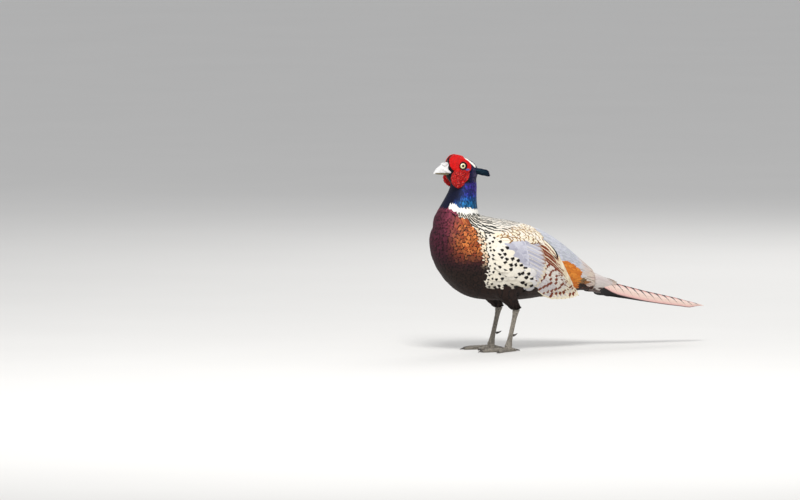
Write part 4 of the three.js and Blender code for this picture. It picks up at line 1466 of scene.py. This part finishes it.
class HeadSettings(bpy.types.PropertyGroup):
    """Face skin, eyes, bill and ear tufts."""

    papilla_spacing: size_property("Bump spacing", "Distance between the bumps of the face skin", 1.7 * MM)
    papilla_height: size_property("Bump height", "Height of the bumps of the face skin", 0.55 * MM)
    face_red: colour_property("Face", "Bare skin of the face", linear("#dd0a08"))
    iris: colour_property("Iris", "Iris of the eye", linear("#f3eab8"))
    bill: colour_property("Bill", "Upper bill's horn", linear("#e4e2e0"))
    ear_green: colour_property("Ear tufts", "Glossy ear tufts", COLOURS["ear_green"])


class LegSettings(bpy.types.PropertyGroup):
    """Legs, feet, claws and spurs."""

    scale_size: size_property("Scale", "Width of one scale of the leg's skin", 2.4 * MM)
    leg: colour_property("Leg", "Scales of legs and feet", linear("#a39a8c"))
    claw: colour_property("Claw", "Claws and spurs", linear("#4a4038"))


class PHEASANT_OT_stage(bpy.types.Operator):
    """Makes the floor, the studio light and the camera"""

    bl_idname = "pheasant.stage"
    bl_label = "Stage"

    def execute(self, context):
        settings = context.scene.pheasant_stage
        right = Vector((math.cos(PHOTO_YAW), math.sin(PHOTO_YAW), 0))
        back = Vector(
            (
                math.sin(PHOTO_YAW) * math.cos(PHOTO_PITCH),
                -math.cos(PHOTO_YAW) * math.cos(PHOTO_PITCH),
                math.sin(PHOTO_PITCH),
            )
        )
        up = back.cross(right)
        data = bpy.data.cameras.new("camera")
        data.sensor_width = SENSOR
        data.lens = SENSOR * CAMERA_DISTANCE / (PHOTO_WIDTH * PIXEL)
        camera = new_object("camera", data)
        target = at(0, 0, 0) - right * FEET_RIGHT * PIXEL + up * FEET_BELOW * PIXEL
        turned = Matrix((right, up, back)).transposed().to_4x4()
        camera.matrix_world = Matrix.Translation(target + back * CAMERA_DISTANCE) @ turned
        context.scene.camera = camera

        ground = bmesh.new()
        bmesh.ops.create_grid(ground, x_segments=1, y_segments=1, size=FLOOR_HALF)
        mesh = mesh_of("floor", ground)
        floor = new_object("floor", mesh)
        material, tree = new_material("matt studio floor")
        tone = mixed(tree, noise(tree, 3.0), opaque(settings.floor, 0.96), opaque(settings.floor))
        surface(tree, {"Base Color": tone, "Roughness": 0.9})
        mesh.materials.append(material)

        world = bpy.data.worlds.new("studio")
        world.use_nodes = True
        background = world.node_tree.nodes["Background"]
        background.inputs[0].default_value = opaque(linear("#e6e8ec"))
        background.inputs[1].default_value = settings.sky
        context.scene.world = world
        context.scene.view_settings.view_transform = "Standard"
        for name, offset, size, power in (
            ("key light", (-1.0, -1.9, 2.6), 1.0, settings.key),
            ("fill light", (-2.6, 0.6, 1.2), 2.2, settings.fill),
            ("rim light", (1.6, 1.8, 2.0), 1.6, settings.rim),
        ):
            lamp = bpy.data.lights.new(name, "AREA")
            lamp.size = size
            lamp.energy = power
            light = new_object(name, lamp)
            light.location = offset
            aim = Vector((0, 0, LIGHT_TARGET_Z)) - light.location
            light.rotation_euler = aim.to_track_quat("-Z", "Y").to_euler()
        return {"FINISHED"}


class PHEASANT_OT_plumage(bpy.types.Operator):
    """Makes the skin and the contour feathers over it"""

    bl_idname = "pheasant.plumage"
    bl_label = "Skin and contour feathers"

    def execute(self, context):
        settings = context.scene.pheasant_plumage
        take_colours(settings)
        outer = outer_plumage()
        coats = {
            "head": Coat("small", 4),
            "neck": Coat("small", 5),
            "trunk": Coat("small", 6),
            "thigh": Coat("small", 5),
        }
        body_feathers(outer, coats, settings.seed, settings.rise / MM)
        skin_piece(outer)
        outer.free()
        material = feather_material("contour feathers", settings.barb_relief)
        for region, coat in coats.items():
            if not coat.looks:
                raise RuntimeError(f"no feathers on the {region}")
            piece(f"{region}_coat", coat.mesh(f"{region}_coat"), material)
        return {"FINISHED"}


class PHEASANT_OT_wings(bpy.types.Operator):
    """Makes the folded wings' flight feathers and coverts"""

    bl_idname = "pheasant.wings"
    bl_label = "Wings"

    def execute(self, context):
        settings = context.scene.pheasant_wings
        take_colours(settings)
        material = bpy.data.materials["contour feathers"]
        left = wing_mesh("wing_feathers_left", settings.flight_half / MM, settings.covert_half / MM)
        right = mirrored_mesh(left, "wing_feathers_right")
        piece("wing_feathers_left", left, material, ["wing_left"])
        piece("wing_feathers_right", right, material, ["wing_right"])
        return {"FINISHED"}


class PHEASANT_OT_tail(bpy.types.Operator):
    """Makes the long barred tail"""

    bl_idname = "pheasant.tail"
    bl_label = "Tail"

    def execute(self, context):
        settings = context.scene.pheasant_tail
        take_colours(settings)
        material = tail_material()
        left = tail_mesh("tail_feathers_left", settings.half / MM, settings.bar / MM)
        right = mirrored_mesh(left, "tail_feathers_right")
        piece("tail_feathers_left", left, material, ["tail"])
        piece("tail_feathers_right", right, material, ["tail"])
        return {"FINISHED"}


class PHEASANT_OT_head(bpy.types.Operator):
    """Makes the face skin, eyes, bill and ear tufts"""

    bl_idname = "pheasant.head"
    bl_label = "Head"

    def execute(self, context):
        settings = context.scene.pheasant_head
        take_colours(settings)
        ear_tufts(bpy.data.materials["contour feathers"])
        skin = wattle_material(tuple(settings.face_red))
        black = horn_material("tiny black face feathers", linear("#1a1414"), 0.5, 900.0, 0.6)
        iris = eye_material(tuple(settings.iris))
        for side_name in SIDES:
            wattle(side_name, skin, black, settings.papilla_spacing / MM, settings.papilla_height / MM)
            eye(side_name, iris)
        horn = horn_material("pale bill horn", tuple(settings.bill), 0.72, 260.0, 0.36)
        # The gape's pale corners run back along the cheeks.
        droop = Matrix.Rotation(math.radians(-18), 4, "Y")
        corners = [
            (
                (22.5, 8.6 * side, -9.6),
                droop @ Matrix.Rotation(math.radians(-14 * side), 4, "Z"),
                (7.5, 2.2, 2.6),
            )
            for side in (1, -1)
        ]
        softened("bill_top", ["bill_upper"], 0.4 * MM, 4, horn, corners)
        # The lower bill is painted a dark olive horn, darker than the upper bill, as painted shade under
        # it.
        under = horn_material("dull lower bill horn", linear("#8f8460"), 0.3, 260.0, 0.4)
        softened("bill_bottom", ["bill_lower"], 0.4 * MM, 3, under)
        return {"FINISHED"}


class PHEASANT_OT_legs(bpy.types.Operator):
    """Makes the scaled legs and feet, the claws and the spurs"""

    bl_idname = "pheasant.legs"
    bl_label = "Legs"

    def execute(self, context):
        settings = context.scene.pheasant_legs
        scales = leg_material(tuple(settings.leg), settings.scale_size)
        dark = horn_material("dark claw horn", tuple(settings.claw), 0.3, 600.0, 0.35)
        for side_name in SIDES:
            skin = [f"tarsus_{side_name}", f"foot_{side_name}"]
            softened(f"leg_{side_name}", skin, 0.7 * MM, 3, scales)
            toes = [f"claw_{toe}_{side_name}" for toe in ("inner", "middle", "outer", "hind")]
            softened(f"claws_{side_name}", [*toes, f"spur_{side_name}"], 0.35 * MM, 2, dark)
        return {"FINISHED"}


class PHEASANT_PT_panel(bpy.types.Panel):
    """The settings of each part of the bird, with its button"""

    bl_label = "Pheasant"
    bl_idname = "PHEASANT_PT_panel"
    bl_space_type = "VIEW_3D"
    bl_region_type = "UI"
    bl_category = "Pheasant"

    def draw(self, context):
        for (name, group), operator in zip(SETTINGS.items(), OPERATORS):
            box = self.layout.box()
            for key in group.__annotations__:
                box.prop(getattr(context.scene, name), key)
            box.operator(operator.bl_idname)


OPERATORS = (
    PHEASANT_OT_stage,
    PHEASANT_OT_plumage,
    PHEASANT_OT_wings,
    PHEASANT_OT_tail,
    PHEASANT_OT_head,
    PHEASANT_OT_legs,
)
SETTINGS = {
    "pheasant_stage": StageSettings,
    "pheasant_plumage": PlumageSettings,
    "pheasant_wings": WingSettings,
    "pheasant_tail": TailSettings,
    "pheasant_head": HeadSettings,
    "pheasant_legs": LegSettings,
}
CLASSES = (*SETTINGS.values(), *OPERATORS, PHEASANT_PT_panel)


def register():
    for cls in CLASSES:
        bpy.utils.register_class(cls)
    for name, group in SETTINGS.items():
        setattr(bpy.types.Scene, name, bpy.props.PointerProperty(type=group))


def unregister():
    for name in SETTINGS:
        delattr(bpy.types.Scene, name)
    for cls in reversed(CLASSES):
        bpy.utils.unregister_class(cls)


def main():
    register()
    bpy.ops.pheasant.stage()
    bpy.ops.pheasant.plumage()
    bpy.ops.pheasant.wings()
    bpy.ops.pheasant.tail()
    bpy.ops.pheasant.head()
    bpy.ops.pheasant.legs()


if __name__ == "__main__":
    main()
